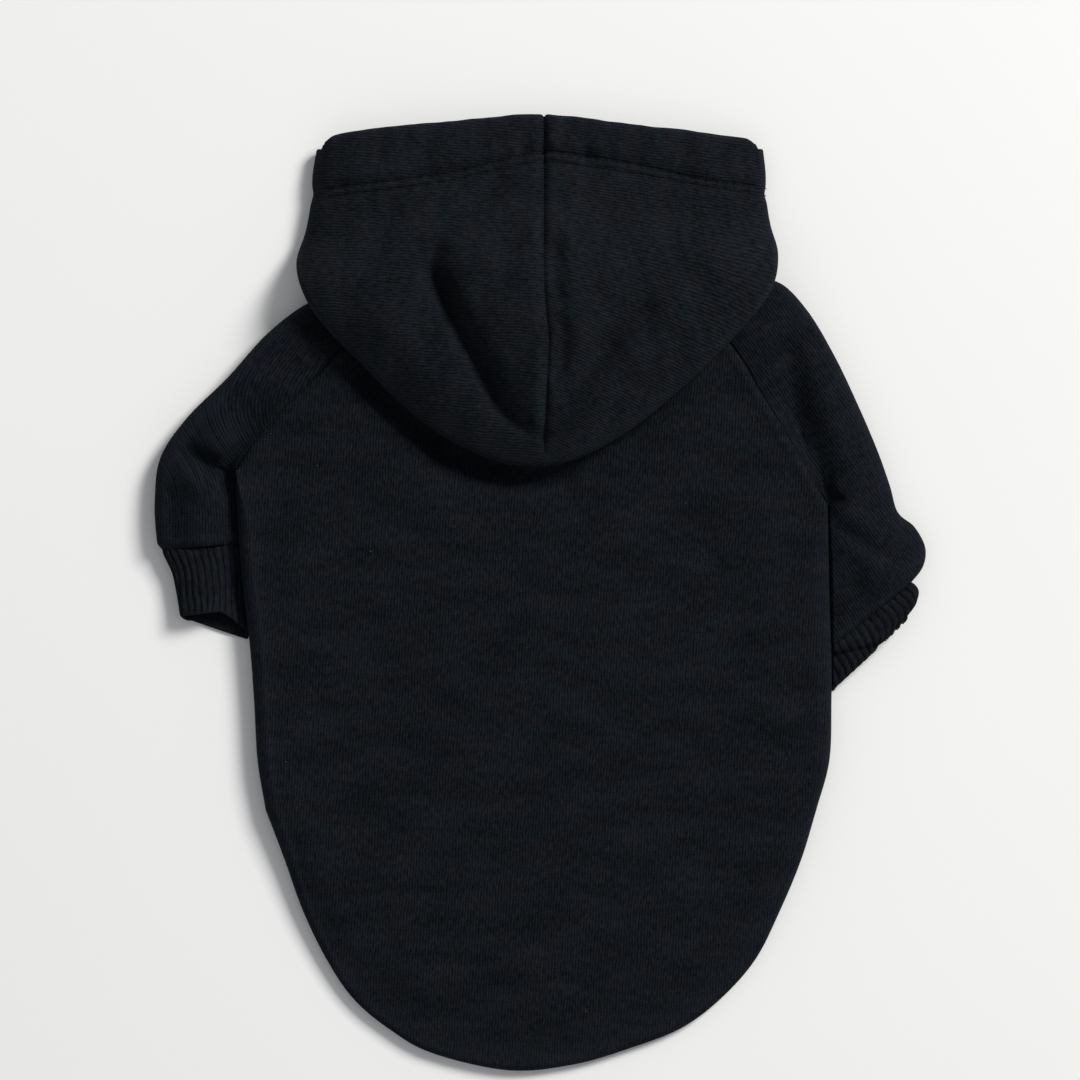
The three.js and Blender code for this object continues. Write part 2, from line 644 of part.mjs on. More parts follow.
// Armhole loop of the body, moved off the body's edge by the seam gap
function armholeSection(side, cap, span, under) {
  const loop = [];
  const first = raglanPlace(side, 0, SEAM_GAP / 2);
  const end = raglanPlace(side, 1, SEAM_GAP / 2);
  end.x += side * 0.3;
  end.y += 0.6;
  for (let k = 0; k < cap; k += 1) {
    const g = (Math.PI * k) / cap;
    const r = NECK_HEIGHT / 2;
    loop.push([first.x + side * r * Math.sin(g), first.y + 1.2 * Math.sin(g), r - r * Math.cos(g)]);
  }
  for (let k = 0; k < span; k += 1) {
    const u = k / span;
    const p = raglanPlace(side, u, SEAM_GAP / 2);
    loop.push([p.x, p.y, raglanHeight(u)]);
  }
  for (let k = 0; k < cap; k += 1) {
    const g = (Math.PI * k) / cap;
    const r = BODY_FOLD_HEIGHT / 2;
    const out = r * Math.sin(g);
    const y = end.y - (UNDERARM_NOTCH - 0.3) * Math.sin(g);
    loop.push([end.x + side * out * 0.95, y, r + r * Math.cos(g)]);
  }
  for (let k = 0; k < under; k += 1) {
    const p = raglanPlace(side, 1 - k / under, SEAM_GAP / 2);
    loop.push([p.x, p.y, 0]);
  }
  return loop;
}

function makeSleeve(side) {
  const table = side < 0 ? SLEEVE_LEFT : SLEEVE_RIGHT;
  const cap = SLEEVE_CAP_STEPS;
  const span = RAGLAN_STEPS;
  const under = SLEEVE_UNDER_STEPS;
  const sheet = new Sheet();
  const rows = [];
  const up = new THREE.Vector3(0, 0, 1);
  const down = new THREE.Vector3(0, 0, -1);
  for (let i = 0; i < SLEEVE_RINGS; i += 1) {
    const section = i === 0
      ? armholeSection(side, cap, span, under)
      : tubeSection(table, (i - 1) / (SLEEVE_RINGS - 2), cap, span, under);
    const row = section.map((p, k) => {
      const top = k >= cap && k <= cap + span;
      const low = k === 0 || k >= 2 * cap + span;
      const armhole = top ? up : low ? down : null;
      const end = i === SLEEVE_RINGS - 1 ? new THREE.Vector3(p[3], p[4], p[5]) : null;
      return sheet.point(p[0], p[1], p[2], CLOTH, i === 0 ? armhole : end);
    });
    row.push(row[0]);
    rows.push(row);
  }
  sheet.grid(rows, side < 0);
  return sheet.solid();
}

// Sections of a cuff, the first one copied from the sleeve's end
function cuffTable(side) {
  const sleeve = side < 0 ? SLEEVE_LEFT : SLEEVE_RIGHT;
  const end = sleeve[sleeve.length - 1];
  const gap = CUFF_GAP / SPAN_HALF;
  const first = { ...end, out_y: end.out_y - gap, in_y: end.in_y - gap, slip: 0 };
  return [first].concat(side < 0 ? CUFF_LEFT : CUFF_RIGHT);
}

function makeCuff(side) {
  const table = cuffTable(side);
  const sheet = new Sheet();
  const rows = [];
  const cap = 8;
  const span = RIB_COUNT - cap;
  for (let i = 0; i < CUFF_RINGS; i += 1) {
    const t = i / (CUFF_RINGS - 1);
    const loop = tubeSection(table, t, cap, span, span);
    const slip = column(table, "slip", t) * SPAN_HALF;
    const row = loop.map((p, k) => {
      const dip = k % 2 ? RIB_DEPTH : 0;
      const down = slip * (1 - Math.min(1, p[2] / BODY_FOLD_HEIGHT));
      const high = p[2] > 1 ? p[2] - dip : p[2];
      const end = i === 0 ? new THREE.Vector3(p[3], p[4], p[5]) : null;
      return sheet.point(p[0], p[1] - down, high, RIB_CLOTH, end);
    });
    row.push(row[0]);
    rows.push(row);
  }
  sheet.grid(rows, side < 0);
  return sheet.solid();
}

// Height of the hood's lower layer above the table
function hoodRest(x, y) {
  const shoulder = x < 0 ? 149 : 160;
  return HOOD_REST * (1 - smooth(shoulder, shoulder + 32, y));
}

// Height of the hood's upper layer, start: its height where it leaves the side fold
function hoodTop(x, y, fromEdge, start) {
  const length = (y - HOOD_TIP_LINE) / HOOD_LENGTH;
  const slope = 0.5 * smooth(0.35, 1.05, length) + 0.5 * Math.max(0, (length - 0.4) / 0.6);
  const crest = mix(HOOD_CREST, HOOD_MOUTH, slope);
  const loft = mix(start, crest, 1 - Math.exp(-fromEdge / HOOD_ROLL));
  const seam = -3.2 * Math.exp(-(x * x) / 30) * smooth(0, 12, fromEdge);
  const folds = foldsAt(HOOD_FOLDS, x, y, HOOD_HALF, HOOD_LENGTH, HOOD_TIP_LINE, HOOD_FOLD_DEPTH);
  const fromMouth = (1 - length) * HOOD_LENGTH;
  const stitch = -0.9 * Math.exp(-((fromMouth - CASING_WIDTH) ** 2) / 10);
  return loft + seam + (folds + stitch) * smooth(3, 26, fromEdge);
}

// Lines of one half of the hood, from the centre seam to the throat. inset: centre
// of the side fold's roll, start: where the upper layer leaves the roll.
function hoodLines(side) {
  const table = side < 0 ? HOOD_LEFT : HOOD_RIGHT;
  const place = (t, name) => {
    const x = column(table, name + "_x", t) * HOOD_HALF;
    const y = HOOD_TIP_LINE + column(table, name + "_y", t) * HOOD_LENGTH;
    return new THREE.Vector2(side * Math.max(SEAM_GAP / 2, x), y);
  };
  const lines = [];
  for (let i = 0; i <= HOOD_LINES; i += 1) {
    const t = i / HOOD_LINES;
    const fold = place(t, "side");
    const before = place(Math.max(0, t - 0.03), "side");
    const after = place(Math.min(1, t + 0.03), "side");
    const along = new THREE.Vector2().subVectors(after, before).normalize();
    const out = new THREE.Vector2(along.y * side, -along.x * side);
    if (i === 0) {
      out.set(0, -1);
    }
    const low = hoodRest(fold.x, fold.y);
    const roll = HOOD_RIM_LOFT / 2;
    const inset = fold.clone().addScaledVector(out, -roll);
    const start = inset.clone().addScaledVector(out, roll * Math.cos(HOOD_ROLL_ANGLE));
    const high = low + roll + roll * Math.sin(HOOD_ROLL_ANGLE);
    const neckHigh = column(table, "lift", t) * HOOD_REST;
    const neck = place(t, "neck");
    const front = place(t, "front");
    lines.push({ neck, front, neckHigh, inset, start, out, roll, low, high });
  }
  return lines;
}

// The side fold's half width and height at a place between the tip and the mouth
function hoodSideAt(lines, y) {
  const last = lines.length - 1;
  let i = 0;
  while (i < last - 1 && lines[i + 1].start.y < y) {
    i += 1;
  }
  const a = lines[i];
  const b = lines[i + 1];
  const t = Math.min(1, Math.max(0, (y - a.start.y) / (b.start.y - a.start.y)));
  return { half: mix(Math.abs(a.start.x), Math.abs(b.start.x), t), high: mix(a.high, b.high, t) };
}

function makeHoodPanel(side) {
  const sheet = new Sheet();
  const lines = hoodLines(side);
  const rows = [];
  for (const line of lines) {
    const { neck, front, neckHigh, inset, start, out, roll, low, high } = line;
    const seam = line === lines[0] ? CENTRE_SEAM : null;
    const row = [];
    for (let k = 0; k < HOOD_UNDER_STEPS; k += 1) {
      const u = k / HOOD_UNDER_STEPS;
      const x = mix(neck.x, inset.x, u);
      const y = mix(neck.y, inset.y, u);
      const z = mix(neckHigh, low, smooth(0, 0.85, u));
      row.push(sheet.point(x, y, Math.max(0, z), CLOTH, seam));
    }
    for (let k = 0; k < HOOD_FOLD_STEPS; k += 1) {
      const a = mix(-Math.PI / 2, HOOD_ROLL_ANGLE, k / HOOD_FOLD_STEPS);
      const x = inset.x + roll * Math.cos(a) * out.x;
      const y = inset.y + roll * Math.cos(a) * out.y;
      row.push(sheet.point(x, y, low + roll + roll * Math.sin(a), CLOTH, seam));
    }
    const length = start.distanceTo(front);
    for (let k = 0; k <= HOOD_TOP_STEPS; k += 1) {
      const u = k / HOOD_TOP_STEPS;
      const x = mix(start.x, front.x, u);
      const y = mix(start.y, front.y, u);
      const beside = hoodSideAt(lines, y);
      const fromEdge = Math.min(u * length, Math.max(0, 0.9 * (beside.half - Math.abs(x))));
      const startHigh = mix(high, beside.high, smooth(0, 8, u * length));
      const z = hoodTop(x, y, fromEdge, startHigh);
      const casing = smooth(CASING_WIDTH + 4, CASING_WIDTH, (1 - u) * length);
      row.push(sheet.point(x, y, z, mix(CLOTH, CASING_CLOTH, casing * smooth(40, 80, length)), seam));
    }
    rows.push(row);
  }
  sheet.grid(rows, side > 0);
  return sheet.solid();
}

function fleece(color) {
  return new THREE.MeshStandardMaterial({ color, roughness: 0.95, metalness: 0.0 });
}

function ribKnit() {
  return new THREE.MeshStandardMaterial({ color: RIB_BLACK, roughness: 0.93, metalness: 0.0 });
}

function piece(name, geometry, material) {
  geometry.translate(0, MIDDLE_SHIFT, 0);
  const mesh = new THREE.Mesh(geometry, material);
  mesh.name = name;
  return mesh;
}

function makeHoodie() {
  const group = new THREE.Group();
  group.name = "dog_hoodie";
  group.add(piece("back_panel", makeBackPanel(), fleece(FLEECE_BACK)));
  group.add(piece("belly_panel", makeBellyPanel(), fleece(FLEECE_BACK)));
  group.add(piece("sleeve_left", makeSleeve(-1), fleece(FLEECE_BLACK)));
  group.add(piece("sleeve_right", makeSleeve(1), fleece(FLEECE_BLACK)));
  group.add(piece("cuff_left", makeCuff(-1), ribKnit()));
  group.add(piece("cuff_right", makeCuff(1), ribKnit()));
  group.add(piece("hood_left", makeHoodPanel(-1), fleece(FLEECE_BLACK)));
  group.add(piece("hood_right", makeHoodPanel(1), fleece(FLEECE_BLACK)));
  return group;
}

export default makeHoodie();
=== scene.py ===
"""Dog hoodie in black fleece, lying flat with its back up and the hood folded down.

Every panel is a sheet of cells with a closed wall of cloth. The shapes come from
named sizes and short tables, in millimetres, and each mesh is made in metres.
"""

import math

import bpy
import numpy as np
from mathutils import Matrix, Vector
from mathutils.bvhtree import BVHTree


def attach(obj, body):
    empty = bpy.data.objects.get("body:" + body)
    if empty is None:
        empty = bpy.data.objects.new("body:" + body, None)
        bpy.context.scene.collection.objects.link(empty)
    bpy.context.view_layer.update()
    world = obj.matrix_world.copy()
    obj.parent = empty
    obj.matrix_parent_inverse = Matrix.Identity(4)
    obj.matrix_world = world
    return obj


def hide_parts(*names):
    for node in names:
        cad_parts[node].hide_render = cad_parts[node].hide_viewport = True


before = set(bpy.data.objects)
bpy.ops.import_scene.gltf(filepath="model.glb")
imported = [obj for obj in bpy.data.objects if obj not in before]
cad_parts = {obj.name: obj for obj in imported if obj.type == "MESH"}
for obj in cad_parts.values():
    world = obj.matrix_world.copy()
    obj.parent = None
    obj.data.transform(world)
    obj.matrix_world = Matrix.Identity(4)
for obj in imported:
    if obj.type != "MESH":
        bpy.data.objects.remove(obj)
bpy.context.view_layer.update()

MM = 0.001

# Overall sizes of the garment as it lies, millimetres
CHEST_HALF = 145.0
BACK_LENGTH = 389.0
NECK_LINE = 150.0
SPAN_HALF = 193.0
HOOD_HALF = 120.0
HOOD_LENGTH = 177.0
HOOD_TIP_LINE = 63.0
MIDDLE_SHIFT = -0.55

# Cloth and seams
CLOTH = 2.0
CASING_CLOTH = 3.0
RIB_CLOTH = 1.8
SEAM_HALF_GAP = 0.03
TUCK_GAP = -0.2
INNER_END = 1.8
CENTRE_OVERLAP = -0.06
SEAM_DIP = 1.5
SEAM_DIP_WIDTH = 1.5
# Weld and rounded free edge of a wall of cloth
WELD_STEPS_PER_MM = 200
EDGE_STEPS = 4
EDGE_CHART_STEP = 0.6
# Share of the outer side's lightening given to the inner side; the lightening is partly wear,
# partly painted highlight
INNER_WEAR_AND_HIGHLIGHT = 0.3
# Mark in a stated normal: this corner's normal lies in the plane of the centre seam
IN_SEAM_PLANE = 2.0

# Heights of the layers above the table
BODY_FOLD_HEIGHT = 13.0
BODY_CROWN = 3.0
NECK_HEIGHT = 14.6
TAIL_HEIGHT = 6.4
HOOD_REST = 17.2
HOOD_CREST = 36.5
HOOD_MOUTH = 13.0
HOOD_RIM_LOFT = 10.8
HOOD_ROLL = 15.0
HOOD_ROLL_ANGLE = math.radians(62)
SHOULDER_LINE_LEFT = 149.0
SHOULDER_LINE_RIGHT = 160.0
SHOULDER_SLOPE = 32.0
CASING_REACH = 34.0
SIDE_PINCH_LINE = 199.5

# Underside of the body
SIDE_WRAP = 28.0
HEM_TURN = 16.0
BELLY_END_LINE = -92.0
THROAT_LINE = 123.0
NECK_ARCH = 1.6
# Degrees that the wales of the back lean against the page
BODY_GRAIN = -4

# Room between a sleeve's rings and the raglan line: at the seam, and more down the sleeve
RAGLAN_CLEAR = 0.4
RAGLAN_SPREAD = 24.0
RAGLAN_CORNER_DROP = 3.0

# Cuffs: length at the seam, and the crease across the right one
CUFF_LENGTH_LEFT = 20.0
CUFF_LENGTH_RIGHT = 24.0
CUFF_CREASE_LINE = -32.0
CUFF_CREASE_SLOPE = 0.22
CUFF_CREASE_START = 145.5

# Knit: distance between ribs, wales and courses, and how the yarn looks
RIB_PITCH = 3.9
RIB_DEPTH = 1.15
FLEECE_KNIT = {"wale_mm": 1.45, "course_mm": 1.15, "depth_mm": 0.34, "wale_share": 0.3}
RIB_KNIT = {"wale_mm": 0.98, "course_mm": 0.9, "depth_mm": 0.2, "wale_share": 0.25}

WALE_DRIFT = 0.0022
COOL_TINT = (0.84, 1.01, 1.03)
WARM_TINT = (1.12, 0.975, 1.0)
# Gain of the light fleece colour where the cloth is drawn lighter: partly real wear, partly painted
# highlight
WEAR_AND_HIGHLIGHT_GAIN = 1.25
LINT_COLOR = (0.12, 0.12, 0.125)
SHEEN_TINT = (0.75, 0.86, 1.0)

# Casing stitches, in metres
STITCH_SIZES = {"Pitch": 0.0028, "Stitch Length": 0.0021, "Thread Radius": 0.00024}
STITCH_SAG = 0.00012
STITCH_CLEAR = 0.00016
STITCH_LOWEST = 0.008

# Mesh steps
RAGLAN_STEPS = 64
SIDE_STEPS = 84
HEM_STEPS = 168
FOLD_STEPS = 12
WRAP_STEPS = 8
HOOD_LINES = 170
HOOD_UNDER_STEPS = 16
HOOD_FOLD_STEPS = 14
HOOD_TOP_STEPS = 130
RAGLAN_SHARE = 10.0 / 19.0
BELLY_SEAM_ROWS = 24
BELLY_SIDE_ROWS = 9
BELLY_COLUMNS = 81
SLEEVE_RINGS = 96
SLEEVE_FIRST_RINGS = 8
SLEEVE_CAP_STEPS = 14
SLEEVE_SPAN_STEPS = 84
SLEEVE_UNDER_STEPS = 20
CUFF_RINGS = 46
CUFF_CAP_STEPS = 40
CUFF_SPAN_STEPS = 130
CUFF_UNDER_STEPS = 60


def table(names, rows):
    """Named columns of a short table."""
    return dict(zip(names.split(), np.array(rows, float).T))


# Sides of the body: share of CHEST_HALF, share of BACK_LENGTH below the neck line
BODY_LEFT = table("side down", [
    (1.052, 0.228), (1.046, 0.292), (1.028, 0.373), (1.004, 0.447),
    (0.988, 0.524), (0.976, 0.601), (0.948, 0.665),
])
BODY_RIGHT = table("side down", [
    (0.992, 0.27), (1.0, 0.32), (1.004, 0.373), (1.007, 0.447),
    (1.007, 0.524), (1.0, 0.601), (0.955, 0.665),
])
TAIL_HEM = table("side down", [
    (-0.948, 0.665), (-0.883, 0.729), (-0.821, 0.794), (-0.738, 0.858),
    (-0.645, 0.909), (-0.521, 0.948), (-0.372, 0.979), (-0.11, 1.001),
    (0.11, 0.994), (0.3, 0.974), (0.486, 0.947), (0.624, 0.909),
    (0.745, 0.858), (0.831, 0.794), (0.903, 0.729), (0.955, 0.665),
])
# Slanted seams between body and sleeves, from the neck to the underarm
RAGLAN_LEFT = table("side down", [
    (0.483, 0.006), (0.59, 0.038), (0.69, 0.073), (0.79, 0.114),
    (0.9, 0.154), (0.985, 0.19), (1.046, 0.228),
])
RAGLAN_RIGHT = table("side down", [
    (0.483, 0.006), (0.6, 0.042), (0.69, 0.083), (0.762, 0.128),
    (0.84, 0.175), (0.919, 0.225), (0.986, 0.27),
])
TUBE_COLUMNS = "out_x out_y in_y in_off out_lift in_lift crown slip"
SLEEVE_LEFT = table(TUBE_COLUMNS, [
    (-0.505, 0.778, 0.313, 0.001, 1.0, 0.8, 0.1, 0),
    (-0.596, 0.756, 0.308, 0.001, 1.0, 0.62, 0.12, 0),
    (-0.705, 0.676, 0.302, 0.001, 1.0, 0.46, 0.16, 0),
    (-0.81, 0.56, 0.294, 0.001, 1.02, 0.4, 0.2, 0),
    (-0.915, 0.456, 0.28, 0.001, 1.05, 0.36, 0.22, 0),
    (-0.985, 0.352, 0.254, 0.0, 1.05, 0.36, 0.22, 0),
    (-1.0, 0.24, 0.212, 0.0, 1.05, 0.36, 0.2, 0),
    (-0.996, 0.15, 0.168, 0.0, 1.0, 0.36, 0.16, 0),
    (-0.986, 0.112, 0.128, 0.0, 0.84, 0.34, 0.1, 0),
])
SLEEVE_RIGHT = table(TUBE_COLUMNS, [
    (0.53, 0.815, 0.23, 0.001, 1.0, 0.8, 0.1, 0),
    (0.62, 0.806, 0.226, 0.001, 1.0, 0.7, 0.12, 0),
    (0.694, 0.733, 0.221, 0.001, 1.0, 0.66, 0.16, 0),
    (0.762, 0.62, 0.213, 0.001, 1.02, 0.66, 0.18, 0),
    (0.82, 0.5, 0.2, 0.001, 1.0, 0.74, 0.22, 0),
    (0.874, 0.375, 0.176, 0.001, 0.94, 0.8, 0.22, 0),
    (0.908, 0.28, 0.14, 0.0, 0.86, 0.86, 0.22, 0),
    (0.929, 0.21, 0.092, 0.0, 0.8, 0.9, 0.22, 0),
    (0.972, 0.172, 0.04, 0.0, 0.8, 0.92, 0.22, 0),
    (1.0, 0.12, -0.02, 0.0, 0.8, 0.9, 0.2, 0),
    (0.996, 0.072, -0.08, 0.0, 0.78, 0.84, 0.16, 0),
    (0.969, 0.032, -0.14, 0.0, 0.7, 0.76, 0.1, 0),
])
# The first row of a cuff is the last one of its sleeve
CUFF_LEFT = table(TUBE_COLUMNS, [
    (-0.986, 0.112, 0.128, 0.0, 0.84, 0.34, 0.1, 0),
    (-0.957, 0.055, 0.07, 0.0, 0.78, 0.28, 0.1, 0.01),
    (-0.944, -0.002, 0.016, 0.0, 0.84, 0.26, 0.16, 0.028),
    (-0.936, -0.056, -0.034, 0.0, 0.92, 0.28, 0.24, 0.05),
])
CUFF_RIGHT = table(TUBE_COLUMNS, [
    (0.969, 0.032, -0.14, 0.0, 0.7, 0.76, 0.1, 0),
    (0.984, 0.004, -0.178, 0.0, 0.68, 0.66, 0.12, 0),
    (0.976, -0.03, -0.215, 0.0, 0.7, 0.6, 0.14, 0),
    (0.954, -0.06, -0.25, 0.0, 0.74, 0.56, 0.16, 0),
])
# Lines across each half of the hood, from the centre seam to the throat
HOOD_COLUMNS = "neck_x neck_y neck_lift side_x side_y front_x front_y"
HOOD_LEFT = table(HOOD_COLUMNS, [
    (0.0, 0.49, 1.0, 0.0, 0.0, 0.0, 0.99),
    (0.13, 0.49, 1.0, 0.17, 0.012, 0.14, 0.986),
    (0.26, 0.49, 1.0, 0.39, 0.08, 0.29, 0.976),
    (0.38, 0.49, 1.0, 0.56, 0.167, 0.43, 0.967),
    (0.5, 0.488, 1.0, 0.74, 0.288, 0.56, 0.96),
    (0.6, 0.487, 1.0, 0.88, 0.384, 0.67, 0.952),
    (0.665, 0.492, 0.86, 0.975, 0.475, 0.755, 0.944),
    (0.672, 0.5, 0.5, 1.015, 0.575, 0.825, 0.936),
    (0.65, 0.5, 0.16, 0.978, 0.67, 0.866, 0.927),
    (0.565, 0.484, 0.0, 0.955, 0.76, 0.885, 0.92),
    (0.33, 0.4, 0.0, 0.95, 0.83, 0.897, 0.914),
    (0.02, 0.351, 0.0, 0.934, 0.896, 0.901, 0.908),
])
HOOD_RIGHT = table(HOOD_COLUMNS, [
    (0.0, 0.49, 1.0, 0.0, 0.0, 0.0, 0.99),
    (0.13, 0.49, 1.0, 0.14, 0.02, 0.15, 0.982),
    (0.26, 0.49, 1.0, 0.33, 0.085, 0.3, 0.968),
    (0.38, 0.49, 1.0, 0.53, 0.188, 0.44, 0.956),
    (0.5, 0.488, 1.0, 0.725, 0.31, 0.57, 0.948),
    (0.6, 0.487, 1.0, 0.865, 0.41, 0.67, 0.938),
    (0.668, 0.497, 0.86, 0.965, 0.505, 0.745, 0.93),
    (0.675, 0.508, 0.5, 0.99, 0.6, 0.8, 0.926),
    (0.65, 0.506, 0.16, 0.962, 0.685, 0.842, 0.923),
    (0.565, 0.484, 0.0, 0.945, 0.765, 0.87, 0.919),
    (0.33, 0.4, 0.0, 0.942, 0.835, 0.888, 0.914),
    (0.02, 0.351, 0.0, 0.932, 0.896, 0.896, 0.909),
])

# Folds: first and last place in millimetres, rise and half width
HOOD_FOLDS = [
    (-6, 206, -6, 160, 1.0, 5),
    (-8, 160, -5, 100, 1.2, 5),
    (-78, 132, -40, 92, 2.2, 12),
    (-92, 176, -78, 150, 1.4, 12),
    (50, 138, 32, 123, -2.6, 5),
    (32, 123, 14, 100, -4.6, 5),
    (66, 146, 44, 118, 2.6, 7),
    (44, 118, 18, 92, 3.0, 6),
    (30, 160, 22, 130, 1.6, 8),
    (6, 172, 6, 148, -3.6, 4),
    (8, 134, 7, 110, -4.0, 4),
    (4, 88, 12, 92, -2.0, 2.5),
    (50, 172, 85, 150, 1.6, 14),
    (60, 192, 100, 182, -1.4, 8),
    (-75, 190, -105, 182, -1.2, 8),
    (20, 226, 22, 218, -1.6, 3),
    (26, 224, 30, 216, 0.9, 3),
    (-9, 228, -10, 214, -1.0, 2.5),
    (-16, 228, -17, 212, 0.8, 3),
]
# Deep crease on the hood's left half: the cloth stands up to the right of it
HOOD_CREASE = table("y x rise", [
    (74, -4, 0), (82, -13, 3.8), (94.5, -23.5, 6.8), (108.5, -30.5, 8.4), (123, -38, 9),
    (144.5, -48.5, 9.2), (162.5, -56, 8.6), (174.5, -52, 7.6), (191, -34, 5.4),
    (205, -21, 2.6), (213, -16, 0),
])
SLEEVE_FOLDS = [
    (-179, 72, -156, 59, -7.0, 3.8),
    (-155, 58, -150, 54, -2.6, 4),
    (-182, 80, -158, 70, 2.2, 5),
    (-180, 58, -158, 46, 3.2, 6),
    (-170, 30, -166, 22, 1.0, 6),
    (-140, 92, -128, 72, -1.4, 7),
    (-120, 118, -140, 104, 1.0, 8),
    (125, 119, 129, 72, -4.6, 5),
    (141, 112, 145, 70, 2.2, 7),
    (122, 122, 124, 96, 1.0, 5),
    (146, 33, 172, 19, -2.0, 3),
    (148, 40, 176, 30, 1.2, 4),
    (150, 24, 182, 6, 1.6, 6),
    (172, 22, 186, 14, 1.6, 8),
    (150, 8, 166, -4, -1.0, 4),
]
BACK_FOLDS = [
    (-106, 127, -90, 110, -7.5, 5),
    (-84, 104, -54, 77, -8.0, 4.6),
    (-46, 71, -18, 60, -9.5, 6),
    (-6, 59, 12, 60, -4.5, 5),
    (28, 68, 70, 100, -2.0, 6),
    (-109, 33, -87, -91, -1.0, 22),
    (80, 33, 90, -83, -0.8, 24),
    (-44, -25, 29, -161, 1.0, 34),
    (-120, 40, -112, -60, 0.5, 9),
    (112, 30, 116, -60, 0.5, 9),
    (60, -140, 90, -110, -0.5, 14),
    (-70, -150, -90, -110, -0.4, 12),
]

# Twin stitching of the hood's casing: upper and lower line, x and y
UPPER_STITCH = table("x y", [
    (-119, 199.5), (-100, 202.3), (-75, 205.2), (-48, 208.5), (-25, 214), (-5, 219.3),
    (2, 220.2), (10, 219.4), (30, 216.6), (50, 213), (80, 206.2), (98, 203.8),
    (112, 202.6), (119, 202),
])
LOWER_STITCH = table("x y", [
    (-119, 195.8), (-100, 198.2), (-75, 200.9), (-52, 204), (-25, 209.6), (-5, 214.3),
    (2, 215.2), (10, 214.5), (30, 211.6), (60, 206.8), (80, 202.8), (98, 200.6),
    (112, 199), (119, 198.2),
])
# How far the centre seam wanders to the right on its way down, y and x
SEAM_WANDER = table("y x", [
    (55, 1.2), (63, 1.5), (85, 2.6), (108, 3.6), (126, 4.5), (136, 3.4), (150, 2.2),
    (175, 1.9), (240, 2.0),
])


def mix(a, b, t):
    return a + (b - a) * t


def smooth(low, high, v):
    t = np.clip((np.asarray(v, float) - low) / (high - low), 0.0, 1.0)
    return t * t * (3 - 2 * t)


def hill(v, width, power=2):
    """Rounded peak of 1 at v = 0."""
    return np.exp(-np.abs(v / width) ** power)


def column(rows, name, t):
    """Value of one column at t from 0 to 1, on a smooth curve."""
    v = rows[name]
    last = len(v) - 1
    at = np.clip(np.asarray(t, float) * last, 0.0, last - 1e-9)
    i = at.astype(int)
    f = at - i
    p1 = v[i]
    p2 = v[i + 1]
    p0 = np.where(i > 0, v[np.maximum(i - 1, 0)], 2 * p1 - p2)
    p3 = np.where(i + 2 <= last, v[np.minimum(i + 2, last)], 2 * p2 - p1)
    a = 2 * p1
    b = p2 - p0
    c = 2 * p0 - 5 * p1 + 4 * p2 - p3
    d = 3 * p1 - p0 - 3 * p2 + p3
    return 0.5 * (a + b * f + c * f * f + d * f ** 3)


def unit(v):
    return v / np.maximum(np.linalg.norm(v, axis=-1, keepdims=True), 1e-12)


def folds_at(folds, x, y):
    """Sum of the folds' heights at each place."""
    total = np.zeros(np.broadcast(x, y).shape)
    for x0, y0, x1, y1, rise, width in folds:
        dx = x1 - x0
        dy = y1 - y0
        u = np.clip(((x - x0) * dx + (y - y0) * dy) / (dx * dx + dy * dy), 0.0, 1.0)
        ex = x - x0 - u * dx
        ey = y - y0 - u * dy
        total = total + rise * np.exp(-(ex * ex + ey * ey) / (2.0 * width * width))
    return total


def sway(x, y, seed, rise, length):
    """Soft uneven height of cloth that lies loose, from waves in fixed directions."""
    dice = np.random.default_rng(seed)
    total = np.zeros(np.broadcast(x, y).shape)
    for _ in range(9):
        angle = dice.uniform(0, math.pi)
        wave = length * dice.uniform(0.6, 1.7)
        phase = dice.uniform(0, 2 * math.pi)
        along = x * math.cos(angle) + y * math.sin(angle)
        total = total + np.sin(along * 2 * math.pi / wave + phase)
    return total * rise / 3.0


def corners(cells):
    """The four corners of each cell of a grid."""
    return np.stack([cells[:-1, :-1], cells[:-1, 1:], cells[1:, 1:], cells[1:, :-1]], 2)


